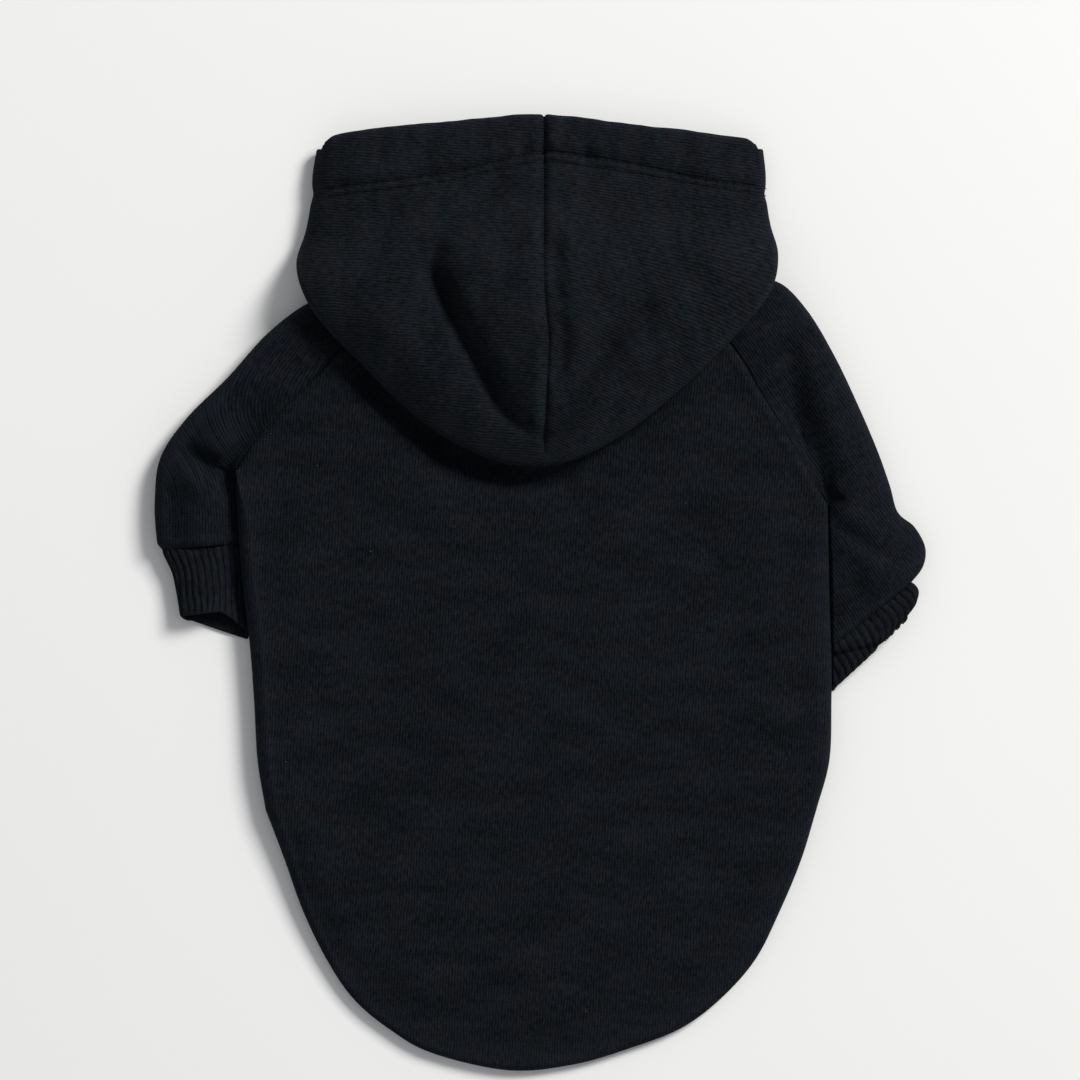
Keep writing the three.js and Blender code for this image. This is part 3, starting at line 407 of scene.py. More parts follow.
class Cloth:
    """An open sheet of cells that becomes a closed wall of cloth."""

    def __init__(self):
        self.grids = []

    def grid(self, place, chart, thick, flip, fixed=None, edge=1.0, worn=0.0):
        """Add cells.

        place: corners, chart: flat cloth coordinates, fixed: stated normals,
        edge: roundness of a free edge; the last argument: how much lighter the cloth is
        drawn, partly for real wear and partly as painted highlight.
        """
        shape = place.shape[:2]
        if fixed is None:
            fixed = np.full(place.shape, np.nan)
        self.grids.append({
            "place": place,
            "chart": chart,
            "thick": np.broadcast_to(thick, shape),
            "fixed": fixed,
            "edge": np.broadcast_to(edge, shape),
            "worn": np.broadcast_to(worn, shape),
            "flip": flip,
        })

    def welded(self):
        """Corners joined by place, and the cells with their chart."""
        place = np.concatenate([g["place"].reshape(-1, 3) for g in self.grids])
        keys = np.round(place * WELD_STEPS_PER_MM).astype(np.int64)
        _, first, back = np.unique(keys, axis=0, return_index=True, return_inverse=True)
        back = back.reshape(-1)
        gather = {}
        for name in ("thick", "edge", "worn"):
            gather[name] = np.concatenate([g[name].reshape(-1) for g in self.grids])[first]
        fixed = np.concatenate([g["fixed"].reshape(-1, 3) for g in self.grids])
        stated = np.full((len(first), 3), np.nan)
        known = ~np.isnan(fixed[:, 2])
        stated[back[known]] = fixed[known]
        cells = []
        charts = []
        start = 0
        for g in self.grids:
            n, m = g["place"].shape[:2]
            ids = back[start:start + n * m].reshape(n, m)
            start += n * m
            quad = corners(ids).reshape(-1, 4)
            chart = corners(g["chart"]).reshape(-1, 4, 2)
            if g["flip"]:
                quad = quad[:, ::-1]
                chart = chart[:, ::-1]
            cells.append(quad)
            charts.append(chart)
        return place[first], gather, stated, np.concatenate(cells), np.concatenate(charts)

    def mesh(self, name, material):
        """Closed wall: outer side, inner side and a rounded rim along the open edges."""
        place, gather, stated, cells, charts = self.welded()
        count = len(place)
        normal = np.zeros((count, 3))
        for a, b, c in ((0, 1, 2), (0, 2, 3)):
            corner = place[cells[:, a]]
            face = np.cross(place[cells[:, b]] - corner, place[cells[:, c]] - corner)
            for k in (a, b, c):
                np.add.at(normal, cells[:, k], face)
        seam = stated[:, 2] == IN_SEAM_PLANE
        normal[seam, 0] = 0.0
        normal = unit(normal)
        given = ~np.isnan(stated[:, 2]) & ~seam
        normal[given] = stated[given]
        thick = gather["thick"][:, None]
        inner = place - normal * thick
        faces = []
        face_charts = []
        for quad, chart in zip(cells.tolist(), charts.tolist()):
            keep = [k for k in range(4) if quad[k] != quad[(k + 1) % 4]]
            if len(keep) < 3:
                continue
            faces.append([quad[k] for k in keep])
            face_charts.append([chart[k] for k in keep])
        outer_count = len(faces)
        for k in range(outer_count):
            faces.append([count + v for v in reversed(faces[k])])
            face_charts.append(list(reversed(face_charts[k])))
        open_edges = {}
        for k in range(outer_count):
            ring = faces[k]
            for i, p in enumerate(ring):
                q = ring[(i + 1) % len(ring)]
                if (q, p) in open_edges:
                    del open_edges[(q, p)]
                else:
                    at = face_charts[k]
                    open_edges[(p, q)] = (at[i], at[(i + 1) % len(ring)])
        outward = np.zeros((count, 3))
        for p, q in open_edges:
            side = np.cross(place[q] - place[p], normal[p] + normal[q])
            outward[p] += side
            outward[q] += side
        outward = unit(outward)
        rim = sorted({v for edge in open_edges for v in edge})
        level = {v: [v] for v in rim}
        points = [place, inner]
        total = 2 * count
        middle = (place + inner) / 2
        extra = []
        for v in rim:
            half = thick[v, 0] / 2
            for k in range(1, EDGE_STEPS):
                a = math.pi * k / EDGE_STEPS
                bulge = math.sin(a) * gather["edge"][v]
                extra.append(middle[v] + half * (math.cos(a) * normal[v] + bulge * outward[v]))
                level[v].append(total)
                total += 1
            level[v].append(count + v)
        for (p, q), (cp, cq) in open_edges.items():
            for k in range(EDGE_STEPS):
                faces.append([level[q][k], level[p][k], level[p][k + 1], level[q][k + 1]])
                down = EDGE_CHART_STEP * k
                further = down + EDGE_CHART_STEP
                face_charts.append([
                    (cq[0], cq[1] + down), (cp[0], cp[1] + down),
                    (cp[0], cp[1] + further), (cq[0], cq[1] + further),
                ])
        if extra:
            points.append(np.array(extra))
        points = np.concatenate(points)
        points[:, 1] += MIDDLE_SHIFT
        points[:, 2] = np.maximum(points[:, 2], 0.0)
        points *= MM
        mesh = bpy.data.meshes.new(name)
        mesh.from_pydata(points.tolist(), [], faces)
        layer = mesh.uv_layers.new(name="cloth")
        flat = np.array([c for chart in face_charts for c in chart]) * MM
        layer.data.foreach_set("uv", flat.reshape(-1).astype(np.float32))
        # The rounded rim along every open edge is drawn fully lighter: painted highlight, with some
        # wear
        outer_wear_and_highlight = gather["worn"]
        worn = np.concatenate([outer_wear_and_highlight, outer_wear_and_highlight * INNER_WEAR_AND_HIGHLIGHT, np.ones(total - 2 * count)])
        mark = mesh.attributes.new("worn", "FLOAT", "POINT")
        mark.data.foreach_set("value", worn.astype(np.float32))
        mesh.materials.append(material)
        mesh.polygons.foreach_set("use_smooth", np.ones(len(faces), bool))
        mesh.validate()
        mesh.update()
        return link_new(name, mesh)


def turned(x, y, degrees):
    """Cloth coordinates turned against the page."""
    a = math.radians(degrees)
    return np.stack([x * math.cos(a) + y * math.sin(a), -x * math.sin(a) + y * math.cos(a)], -1)


# Body

def body_place(rows, t, sign):
    x = column(rows, "side", t) * CHEST_HALF * sign
    y = NECK_LINE - column(rows, "down", t) * BACK_LENGTH
    return np.stack([x, y], -1)


def body_side_x(side, y):
    """Plan x of the body's side at each y."""
    rows = BODY_LEFT if side < 0 else BODY_RIGHT
    line = body_place(rows, np.linspace(0, 1, 400), side)
    return np.interp(-np.asarray(y, float), -line[:, 1], line[:, 0])


def fold_height(y):
    return mix(TAIL_HEIGHT, BODY_FOLD_HEIGHT, smooth(-215, -70, y))


def wrap_depth(y, underarm):
    grow = 1 - smooth(underarm - 70, underarm + 2, y)
    side = mix(1.5, SIDE_WRAP, grow)
    return mix(side, HEM_TURN, 1 - smooth(-120, -80, y))


def hem_shares():
    q = np.linspace(0, 1, HEM_STEPS + 1)
    return 0.6 * q + 0.4 * (1 - np.cos(math.pi * q)) / 2


def body_outline():
    """The edge from the left underarm to the right one.

    Outward directions, heights of the fold, places where the top meets the fold,
    widths of the cloth turned under, and how far the fold stands out.
    """
    t = np.arange(SIDE_STEPS) / SIDE_STEPS
    left = body_place(BODY_LEFT, t, -1)
    hem = body_place(TAIL_HEM, hem_shares(), 1)
    right = body_place(BODY_RIGHT, t, 1)[::-1]
    edge = np.concatenate([left, hem, right])
    count = len(edge)
    index = np.arange(count)
    along = unit(edge[np.minimum(index + 1, count - 1)] - edge[np.maximum(index - 1, 0)])
    out = np.stack([along[:, 1], -along[:, 0]], -1)
    soft = out.copy()
    for _ in range(12):
        soft[1:-1] = (soft[:-2] + 2 * soft[1:-1] + soft[2:]) / 4
    out = unit(soft)
    first = np.exp(-index / 4.0)[:, None]
    final = np.exp(-(count - 1 - index) / 4.0)[:, None]
    out = unit(mix(out, np.array([-1.0, 0.0]), first))
    out = unit(mix(out, np.array([1.0, 0.0]), final))
    height = fold_height(edge[:, 1])
    from_arm = np.minimum(index, count - 1 - index) / SIDE_STEPS
    reach = height / 2 * mix(0.12, 1, smooth(0, 0.2, from_arm))
    inset = edge - out * reach[:, None]
    underarm = np.where(index < count / 2, edge[0, 1], edge[-1, 1])
    wrap = wrap_depth(edge[:, 1], underarm)
    return out, height, inset, wrap, reach


def raglan_height(t):
    return mix(NECK_HEIGHT, BODY_FOLD_HEIGHT, smooth(0, 1, t))


def raglan_place(side, t, gap):
    """Slanted seam, moved towards the sleeve by the gap."""
    rows = RAGLAN_LEFT if side < 0 else RAGLAN_RIGHT
    t = np.asarray(t, float)
    p = body_place(rows, t, side)
    a = body_place(rows, np.maximum(0, t - 0.05), side)
    b = body_place(rows, np.minimum(1, t + 0.05), side)
    along = unit(b - a)
    out = np.stack([-along[..., 1] * side, along[..., 0] * side], -1)
    return p + out * gap


def make_back_panel(material):
    out, height, inset, wrap, reach = body_outline()
    t_top = np.arange(RAGLAN_STEPS) / RAGLAN_STEPS
    side_index = np.arange(SIDE_STEPS + 1)
    left, right = [np.concatenate([
        np.column_stack([raglan_place(side, t_top, -SEAM_HALF_GAP), raglan_height(t_top)]),
        np.column_stack([inset[::-side][side_index], height[::-side][side_index]]),
    ]) for side in (-1, 1)]
    s = hem_shares()
    arch = np.sin(math.pi * s)
    neck = np.column_stack([
        mix(left[0, 0], right[0, 0], s),
        left[0, 1] + NECK_ARCH * arch + (right[0, 1] - left[0, 1]) * s,
        NECK_HEIGHT + arch,
    ])
    hem_index = SIDE_STEPS + np.arange(HEM_STEPS + 1)
    hem = np.column_stack([inset[hem_index], height[hem_index]])
    t_side = RAGLAN_SHARE + (1 - RAGLAN_SHARE) * side_index / SIDE_STEPS
    t = np.concatenate([t_top * RAGLAN_SHARE, t_side])
    T = t[:, None, None]
    S = s[None, :, None]
    place = mix(left[:, None], right[:, None], S) + mix(neck[None], hem[None], T)
    place = place - mix(mix(neck[0], neck[-1], S), mix(hem[0], hem[-1], S), T)
    T = T[..., 0]
    S = S[..., 0]
    inner = smooth(0, 0.14, S) * (1 - smooth(0.86, 1, S))
    inner = inner * smooth(0, 0.08, T) * (1 - smooth(0.92, 1, T))
    crown = BODY_CROWN * inner * mix(0.5, 1, smooth(0, 0.3, T))
    crown = crown * np.sqrt(np.clip(np.sin(math.pi * S), 0, 1))
    x = place[..., 0]
    y = place[..., 1]
    loose = folds_at(BACK_FOLDS, x, y) + sway(x, y, 5, 0.28, 46) + sway(x, y, 6, 0.1, 17)
    lift = crown + loose * inner
    width = (right[:, 0] - left[:, 0])[:, None]
    near = np.minimum(S, 1 - S) * width
    on_raglan = 1 - smooth(RAGLAN_SHARE - 0.02, RAGLAN_SHARE, T)
    dip = SEAM_DIP * hill(near, SEAM_DIP_WIDTH, 1.3) * on_raglan
    ridge = 0.5 * hill(near - 4.0, 2.2) * on_raglan
    place[..., 2] += lift - dip + ridge
    fixed = np.full(place.shape, np.nan)
    fixed[:RAGLAN_STEPS, 0] = (0, 0, 1)
    fixed[:RAGLAN_STEPS, -1] = (0, 0, 1)
    fixed[0, :] = (0, 0, 1)
    side_near = np.exp(-near / 5.0) * (1 - on_raglan)
    hem_near = np.exp(-(1 - T) * 150 / 5.0)
    cloth = Cloth()
    # Lighter near the sides and the hem: partly wear, partly painted highlight
    worn = 0.6 * np.maximum(side_near, hem_near)
    cloth.grid(place, turned(x, y, BODY_GRAIN), CLOTH, True, fixed, 0.0, worn)
    half = (height / 2)[:, None]
    a = math.pi / 2 - math.pi * np.arange(FOLD_STEPS + 1) / FOLD_STEPS
    ca = np.cos(a)[None]
    fx = inset[:, :1] + reach[:, None] * ca * out[:, :1]
    fy = inset[:, 1:] + reach[:, None] * ca * out[:, 1:]
    fz = half + half * np.sin(a)[None]
    fz[:, 0] = height
    w = wrap[:, None] * np.arange(1, WRAP_STEPS + 1)[None] / WRAP_STEPS
    wx = inset[:, :1] - w * out[:, :1]
    wy = inset[:, 1:] - w * out[:, 1:]
    strip = np.stack([
        np.concatenate([fx, wx], 1),
        np.concatenate([fy, wy], 1),
        np.concatenate([fz, np.zeros_like(w)], 1),
    ], -1)
    flat = np.concatenate([half * (math.pi / 2 - a)[None], half * math.pi + w], 1)
    chart_x = inset[:, :1] + flat * out[:, :1]
    chart_y = inset[:, 1:] + flat * out[:, 1:]
    fixed = np.full(strip.shape, np.nan)
    fixed[:, FOLD_STEPS + 1:] = (0, 0, -1)
    # Lighter at the outermost bend of the side fold: partly wear, partly painted highlight
    worn = np.concatenate([np.cos(a) * 0.6, np.zeros(WRAP_STEPS)])[None]
    cloth.grid(strip, turned(chart_x, chart_y, BODY_GRAIN), CLOTH, False, fixed, 0.0, worn)
    return cloth.mesh("fleece_back", material)


def make_belly_panel(material):
    out, _, inset, wrap, _ = body_outline()
    count = len(inset)
    lines = []
    for side in (-1, 1):
        seam = raglan_place(side, np.arange(BELLY_SEAM_ROWS) / BELLY_SEAM_ROWS, -0.15)
        corner = inset[0 if side < 0 else count - 1]
        row = np.arange(1, BELLY_SIDE_ROWS + 1)
        index = row * SIDE_STEPS // BELLY_SIDE_ROWS
        if side > 0:
            index = count - 1 - index
        extra = np.where(row < 3, 1.6, 0.5)
        w = (wrap[index] + extra)[:, None]
        rest = inset[index] - w * out[index]
        rest = rest[rest[:, 1] > BELLY_END_LINE + 4]
        end = np.array([[rest[-1, 0] - side * 2, BELLY_END_LINE]])
        first = np.array([[corner[0] - side * 2.4, corner[1] + 0.6]])
        lines.append(np.concatenate([seam, first, rest, end]))
    rows = min(len(lines[0]), len(lines[1]))
    left = lines[0][:rows, None]
    right = lines[1][:rows, None]
    s = np.linspace(0, 1, BELLY_COLUMNS)[None, :, None]
    flat = mix(left, right, s)
    index = np.arange(rows)[:, None]
    past = index - BELLY_SEAM_ROWS
    share = np.where(past <= 0, index / 4.0, 6 + past)
    scoop = NECK_LINE - 2.5 - THROAT_LINE
    scoop = scoop * np.clip(np.sin(math.pi * s[..., 0]), 0, 1) ** 0.8
    flat[..., 1] -= scoop * np.maximum(0, 1 - share / 8.0)
    place = np.concatenate([flat, np.zeros(flat.shape[:2] + (1,))], -1)
    fixed = np.zeros(place.shape)
    fixed[..., 2] = -1
    cloth = Cloth()
    cloth.grid(place, turned(flat[..., 0], flat[..., 1], 0), CLOTH, False, fixed, 0.0)
    return cloth.mesh("fleece_belly", material)


# Sleeves and cuffs

def tube_sections(rows, t, cap, span, under, folds, fall=0.3):
    """Flattened loops with their normals: outer fold, top, inner fold, underneath."""
    t = np.asarray(t, float)
    out_x, out_y, in_y, in_off = [
        column(rows, name, t) * SPAN_HALF for name in ("out_x", "out_y", "in_y", "in_off")]
    high_out, high_in, crown = [
        column(rows, name, t) * BODY_FOLD_HEIGHT for name in ("out_lift", "in_lift", "crown")]
    side = math.copysign(1, out_x[0])
    out = np.stack([out_x, out_y], -1)
    inn = np.stack([body_side_x(side, in_y) + side * (TUCK_GAP + in_off), in_y], -1)
    way = unit(inn - out)
    a = out + way * high_out[:, None] / 2
    b = inn - way * INNER_END
    g = math.pi * np.arange(cap) / cap
    parts = []
    for centre, high, sign in ((a, high_out, -1.0), (b, high_in, 1.0)):
        r = high[:, None] / 2
        reach = r if sign < 0 else INNER_END + 0 * r
        ex = sign * way[:, :1] * np.sin(g)
        ey = sign * way[:, 1:] * np.sin(g)
        ez = sign * np.cos(g)[None] * np.ones_like(r)
        parts.append(np.stack([
            centre[:, :1] + reach * ex, centre[:, 1:] + reach * ey, r + r * ez, ex, ey, ez,
        ], -1))
    u = (np.arange(span) / span)[None]
    x = mix(a[:, :1], b[:, :1], u)
    y = mix(a[:, 1:], b[:, 1:], u)
    bow = np.sin(math.pi * u)
    lift = mix(high_out[:, None], high_in[:, None], smooth(fall, 1, u)) + crown[:, None] * bow
    loose = folds_at(folds, x, y) + sway(x, y, 11, 0.45, 30) + sway(x, y, 12, 0.16, 12)
    lift = lift + loose * bow
    zero = np.zeros_like(x)
    top = np.stack([x, y, lift, zero, zero, zero + 1], -1)
    u = (np.arange(under) / under)[None]
    x = mix(b[:, :1], a[:, :1], u)
    y = mix(b[:, 1:], a[:, 1:], u)
    zero = np.zeros_like(x)
    low = np.stack([x, y, zero, zero, zero, zero - 1], -1)
    return np.concatenate([parts[0], top, parts[1], low], 1)


def armhole_section(side, cap, span, under):
    """Armhole loop of the body, moved off the body's edge."""
    first = raglan_place(side, 0.0, SEAM_HALF_GAP)
    end = raglan_place(side, 1.0, SEAM_HALF_GAP)
    g = math.pi * np.arange(cap) / cap
    r = NECK_HEIGHT / 2
    outer = np.stack([
        first[0] + side * r * np.sin(g), first[1] + 1.2 * np.sin(g), r - r * np.cos(g),
    ], -1)
    u = np.arange(span) / span
    high = raglan_height(u) - RAGLAN_CORNER_DROP * smooth(0.86, 1, u)
    top = np.column_stack([raglan_place(side, u, SEAM_HALF_GAP), high])
    r = BODY_FOLD_HEIGHT / 2 - 1.5
    inner = np.stack([
        end[0] + side * 0.4 * np.sin(g), end[1] - 0.8 * np.sin(g), r + r * np.cos(g),
    ], -1)
    u = 1 - np.arange(under) / under
    low = np.column_stack([raglan_place(side, u, SEAM_HALF_GAP), np.zeros(under)])
    return np.concatenate([outer, top, inner, low])


def around(loops):
    """Distance round each loop, from its start."""
    step = np.linalg.norm(np.diff(loops[..., :3], axis=1), axis=-1)
    return np.concatenate([np.zeros((len(loops), 1)), np.cumsum(step, 1)], 1)


def closed(loops):
    return np.concatenate([loops, loops[:, :1]], 1)


def slanted_chart(x, y, side, upper, lower, slope):
    """Wales that run straight down at the lower end and lean outwards above."""
    width = (upper - lower) / 4.0
    middle = (upper + lower) / 2.0
    lean = slope * width * np.logaddexp(0, (y - middle) / width)
    turn = slope / (1 + np.exp(-(y - middle) / width))
    squeeze = 1 / np.sqrt(1 + turn ** 2)
    down = y - side * turn * (x - side * 150)
    return np.stack([(x + side * lean) * squeeze, down * squeeze], -1)


def make_sleeve(side, material):
    rows = SLEEVE_LEFT if side < 0 else SLEEVE_RIGHT
    cap, span, under = SLEEVE_CAP_STEPS, SLEEVE_SPAN_STEPS, SLEEVE_UNDER_STEPS
    t = np.linspace(0, 1, SLEEVE_RINGS)
    loops = tube_sections(rows, t, cap, span, under, SLEEVE_FOLDS)
    line = raglan_place(side, np.linspace(0, 1, 60), 0.0)
    y = loops[..., 1]
    beside = np.interp(-y, -line[:, 1], np.abs(line[:, 0]))
    beside = beside + RAGLAN_CLEAR + RAGLAN_SPREAD * t[:, None]
    pushed = side * np.maximum(np.abs(loops[..., 0]), beside)
    loops[..., 0] = mix(loops[..., 0], pushed, smooth(line[-1, 1] - 2, line[-1, 1] + 4, y))
    hole = armhole_section(side, cap, span, under)
    w = (np.arange(SLEEVE_FIRST_RINGS) / SLEEVE_FIRST_RINGS)[:, None, None]
    first = np.concatenate([
        mix(hole[None], loops[:1, :, :3], w), np.repeat(loops[:1, :, 3:], len(w), 0),
    ], -1)
    loops = closed(np.concatenate([first, loops]))
    place = loops[..., :3].copy()
    normal = loops[..., 3:].copy()
    from_hole = np.linalg.norm(np.diff(place, axis=0), axis=-1)
    from_hole = np.concatenate([np.zeros((1, place.shape[1])), np.cumsum(from_hole, 0)])
    to_cuff = from_hole[-1:] - from_hole
    if side < 0:
        dip = SEAM_DIP * hill(from_hole, SEAM_DIP_WIDTH, 1.3) - 0.4 * hill(from_hole - 3.5, 2.0)
    else:
        dip = SEAM_DIP * hill(from_hole, 6.0, 1.5)
    columns = np.arange(place.shape[1])
    past_top = cap + span
    on_top = smooth(cap - 4, cap + 2, columns) * (1 - smooth(past_top - 2, past_top + 4, columns))
    place[..., 2] -= dip * on_top[None]
    cuff_dip = hill(to_cuff, 1.4, 1.3) - 0.35 * hill(to_cuff - 3.6, 1.8)
    above = np.where(normal[..., 2] > -0.5, 1.0, 0.0)
    place -= normal * (cuff_dip * above)[..., None]
    fixed = np.full(place.shape, np.nan)
    top = (columns >= cap) & (columns <= past_top)
    low = (columns == 0) | (columns >= past_top + cap)
    fixed[0, top] = (0, 0, 1)
    fixed[0, low] = (0, 0, -1)
    fixed[-1] = normal[-1]
    distance = around(loops)
    flat_x = place[..., 0].copy()
    beyond = distance[:, past_top:] - distance[:, [past_top]]
    flat_x[:, past_top:] = place[:, [past_top], 0] - side * beyond
    upper, lower, slope = (100, 40, 1.0) if side < 0 else (-40, -100, 0.72)
    chart = slanted_chart(flat_x, place[..., 1], side, upper, lower, slope)
    # Lighter along the outer fold and beside the cuff seam: partly wear, partly painted highlight
    worn = 0.6 * hill(columns - cap, 5.0)[None] * np.ones(place.shape[:2])
    worn = np.maximum(worn, 0.5 * hill(to_cuff - 3.5, 2.0))
    cloth = Cloth()
    cloth.grid(place, chart, CLOTH, side < 0, fixed, 0.0, worn)
    return cloth.mesh("fleece_sleeve_left" if side < 0 else "fleece_sleeve_right", material)


def make_cuff(side, material):
    rows = CUFF_LEFT if side < 0 else CUFF_RIGHT
    cap, span, under = CUFF_CAP_STEPS, CUFF_SPAN_STEPS, CUFF_UNDER_STEPS
    t = np.linspace(0, 1, CUFF_RINGS)
    fall = 0.05 if side < 0 else 0.3
    loops = closed(tube_sections(rows, t, cap, span, under, [], fall))
    place = loops[..., :3].copy()
    normal = loops[..., 3:].copy()
    slip = column(rows, "slip", t)[:, None] * SPAN_HALF
    outer_x = place[:, :1, 0]
    inward = np.clip((place[..., 0] - outer_x) / (place[:, [cap + span], 0] - outer_x), 0, 1)
    slip = slip * (0.3 + 1.3 * inward)
    beside = body_side_x(side, place[..., 1])
    lifted = np.clip(place[..., 2] / (normal[..., 2].clip(0, 1) * 5 + 5), 0, 1)
    place[..., 1] -= slip * (1 - lifted)
    place[..., 0] += (body_side_x(side, place[..., 1]) - beside) * inward
    distance = around(loops)
    ribs = np.round(distance[0, -1] / RIB_PITCH)
    phase = distance / distance[:, -1:] * ribs
    down = np.linspace(0, 1, CUFF_RINGS)[:, None]
    phase = phase + 0.16 * np.sin(down * 7 + phase * 0.7) * down
    depth = RIB_DEPTH
    if side > 0:
        depth = 0.8 * RIB_DEPTH
        phase = phase + 2.4 * down
        crease = CUFF_CREASE_LINE + CUFF_CREASE_SLOPE * (place[..., 0] - CUFF_CREASE_START)
        crease = crease - place[..., 1]
        groove = -1.6 * hill(crease, 1.6)
        ridge = 0.8 * hill(crease + 3.5, 2.4)
        for change in (groove, -1.4 * smooth(0, 3, crease), ridge):
            place[..., 2] += change * smooth(2, 5, place[..., 2])
    profile = np.abs(np.sin(math.pi * phase)) ** 0.7
    above = smooth(-0.9, -0.2, normal[..., 2]) * (1 - smooth(0.93, 1, down) * 0.5)
    place -= normal * (depth * (1 - profile) * above)[..., None]
    from_seam = down * (CUFF_LENGTH_LEFT if side < 0 else CUFF_LENGTH_RIGHT)
    dip = hill(from_seam, 1.3, 1.3)
    place -= normal * (dip * (normal[..., 2] > -0.5))[..., None]
    fixed = np.full(place.shape, np.nan)
    fixed[0] = normal[0]
    edge = np.ones(place.shape[:2])
    edge[0] = 0.0
    chart = np.stack([phase * RIB_PITCH, -from_seam + 0 * phase], -1)
    # Lighter rib tops towards the open end: partly wear, partly painted highlight on the raised
    # ribs
    worn = 0.7 * smooth(0.6, 1, profile) * smooth(0.5, 1, down) * np.ones_like(phase)
    cloth = Cloth()
    cloth.grid(place, chart, RIB_CLOTH, side < 0, fixed, edge, worn)
    return cloth.mesh("rib_cuff_left" if side < 0 else "rib_cuff_right", material)


# Hood

def hood_rest(x, y):
    """Height on which the hood lies: the back, and past the shoulders the table."""
    shoulder = np.where(x < 0, SHOULDER_LINE_LEFT, SHOULDER_LINE_RIGHT)
    return HOOD_REST * (1 - smooth(0, SHOULDER_SLOPE, y - shoulder))


def hood_top(x, y, from_edge, start):
    """Height of the hood's upper layer, start: its height where it leaves the side fold."""
    length = (y - HOOD_TIP_LINE) / HOOD_LENGTH
    slope = 0.5 * smooth(0.35, 1.05, length) + 0.5 * np.maximum(0, (length - 0.4) / 0.6)
    crest = mix(HOOD_CREST, HOOD_MOUTH, slope)
    inside = smooth(0, 12, from_edge)
    groove = -2.6 * hill(x, 1.7, 1.4) - 1.2 * hill(x, 7.0)
    lip = np.where(x < 0, 0.9, 0.4) * hill(np.abs(x) - 4.5, 3.0)
    folds = folds_at(HOOD_FOLDS, x, y)
    folds = folds + sway(x, y, 21, 0.5, 34) + sway(x, y, 22, 0.2, 13)
    folds = folds + crease_relief(x, y)
    loft = mix(start, crest, 1 - np.exp(-from_edge / HOOD_ROLL))
    return loft + (groove + lip) * inside + folds * smooth(2, 24, from_edge)


def crease_relief(x, y):
    """Puffed cloth between the left crease and the centre seam."""
    start = np.interp(y, HOOD_CREASE["y"], HOOD_CREASE["x"])
    rise = np.interp(y, HOOD_CREASE["y"], HOOD_CREASE["rise"])
    past = np.minimum(x, 0) - start
    puff = np.where(past > 0, np.tanh((np.abs(past) / 14.0) ** 1.3), 0.0)
    dip = -0.3 * np.exp(-np.abs(past) / np.where(past > 0, 4.0, 13.0))
    beyond = hill(np.maximum(x, 0), 26.0)
    foot = -0.75 * hill(past - 2.5, 5.0) * mix(1, 0.15, smooth(150, 185, y))
    return rise * (puff + dip + foot) * beyond


def casing_relief(x, y):
    """Twin stitching grooves and the puff of the casing beyond them."""
    upper = y - np.interp(x, UPPER_STITCH["x"], UPPER_STITCH["y"])
    lower = y - np.interp(x, LOWER_STITCH["x"], LOWER_STITCH["y"])
    relief = -1.25 * hill(upper, 1.1) - 0.95 * hill(lower, 1.1)
    below = 0.7 * smooth(0.4, 6, -lower) * np.exp(-np.maximum(0, -lower) / 12)
    relief = relief + 1.5 * smooth(0.4, 6, upper) + below
    pucker = np.sin(x * 1.15 + 1.3 * np.sin(x * 0.21)) * 0.22
    relief = relief + pucker * hill(upper + 1.5, 3.6)
    return relief + sway(x, y * 0.35, 31, 0.4, 16) * smooth(1, 6, upper)


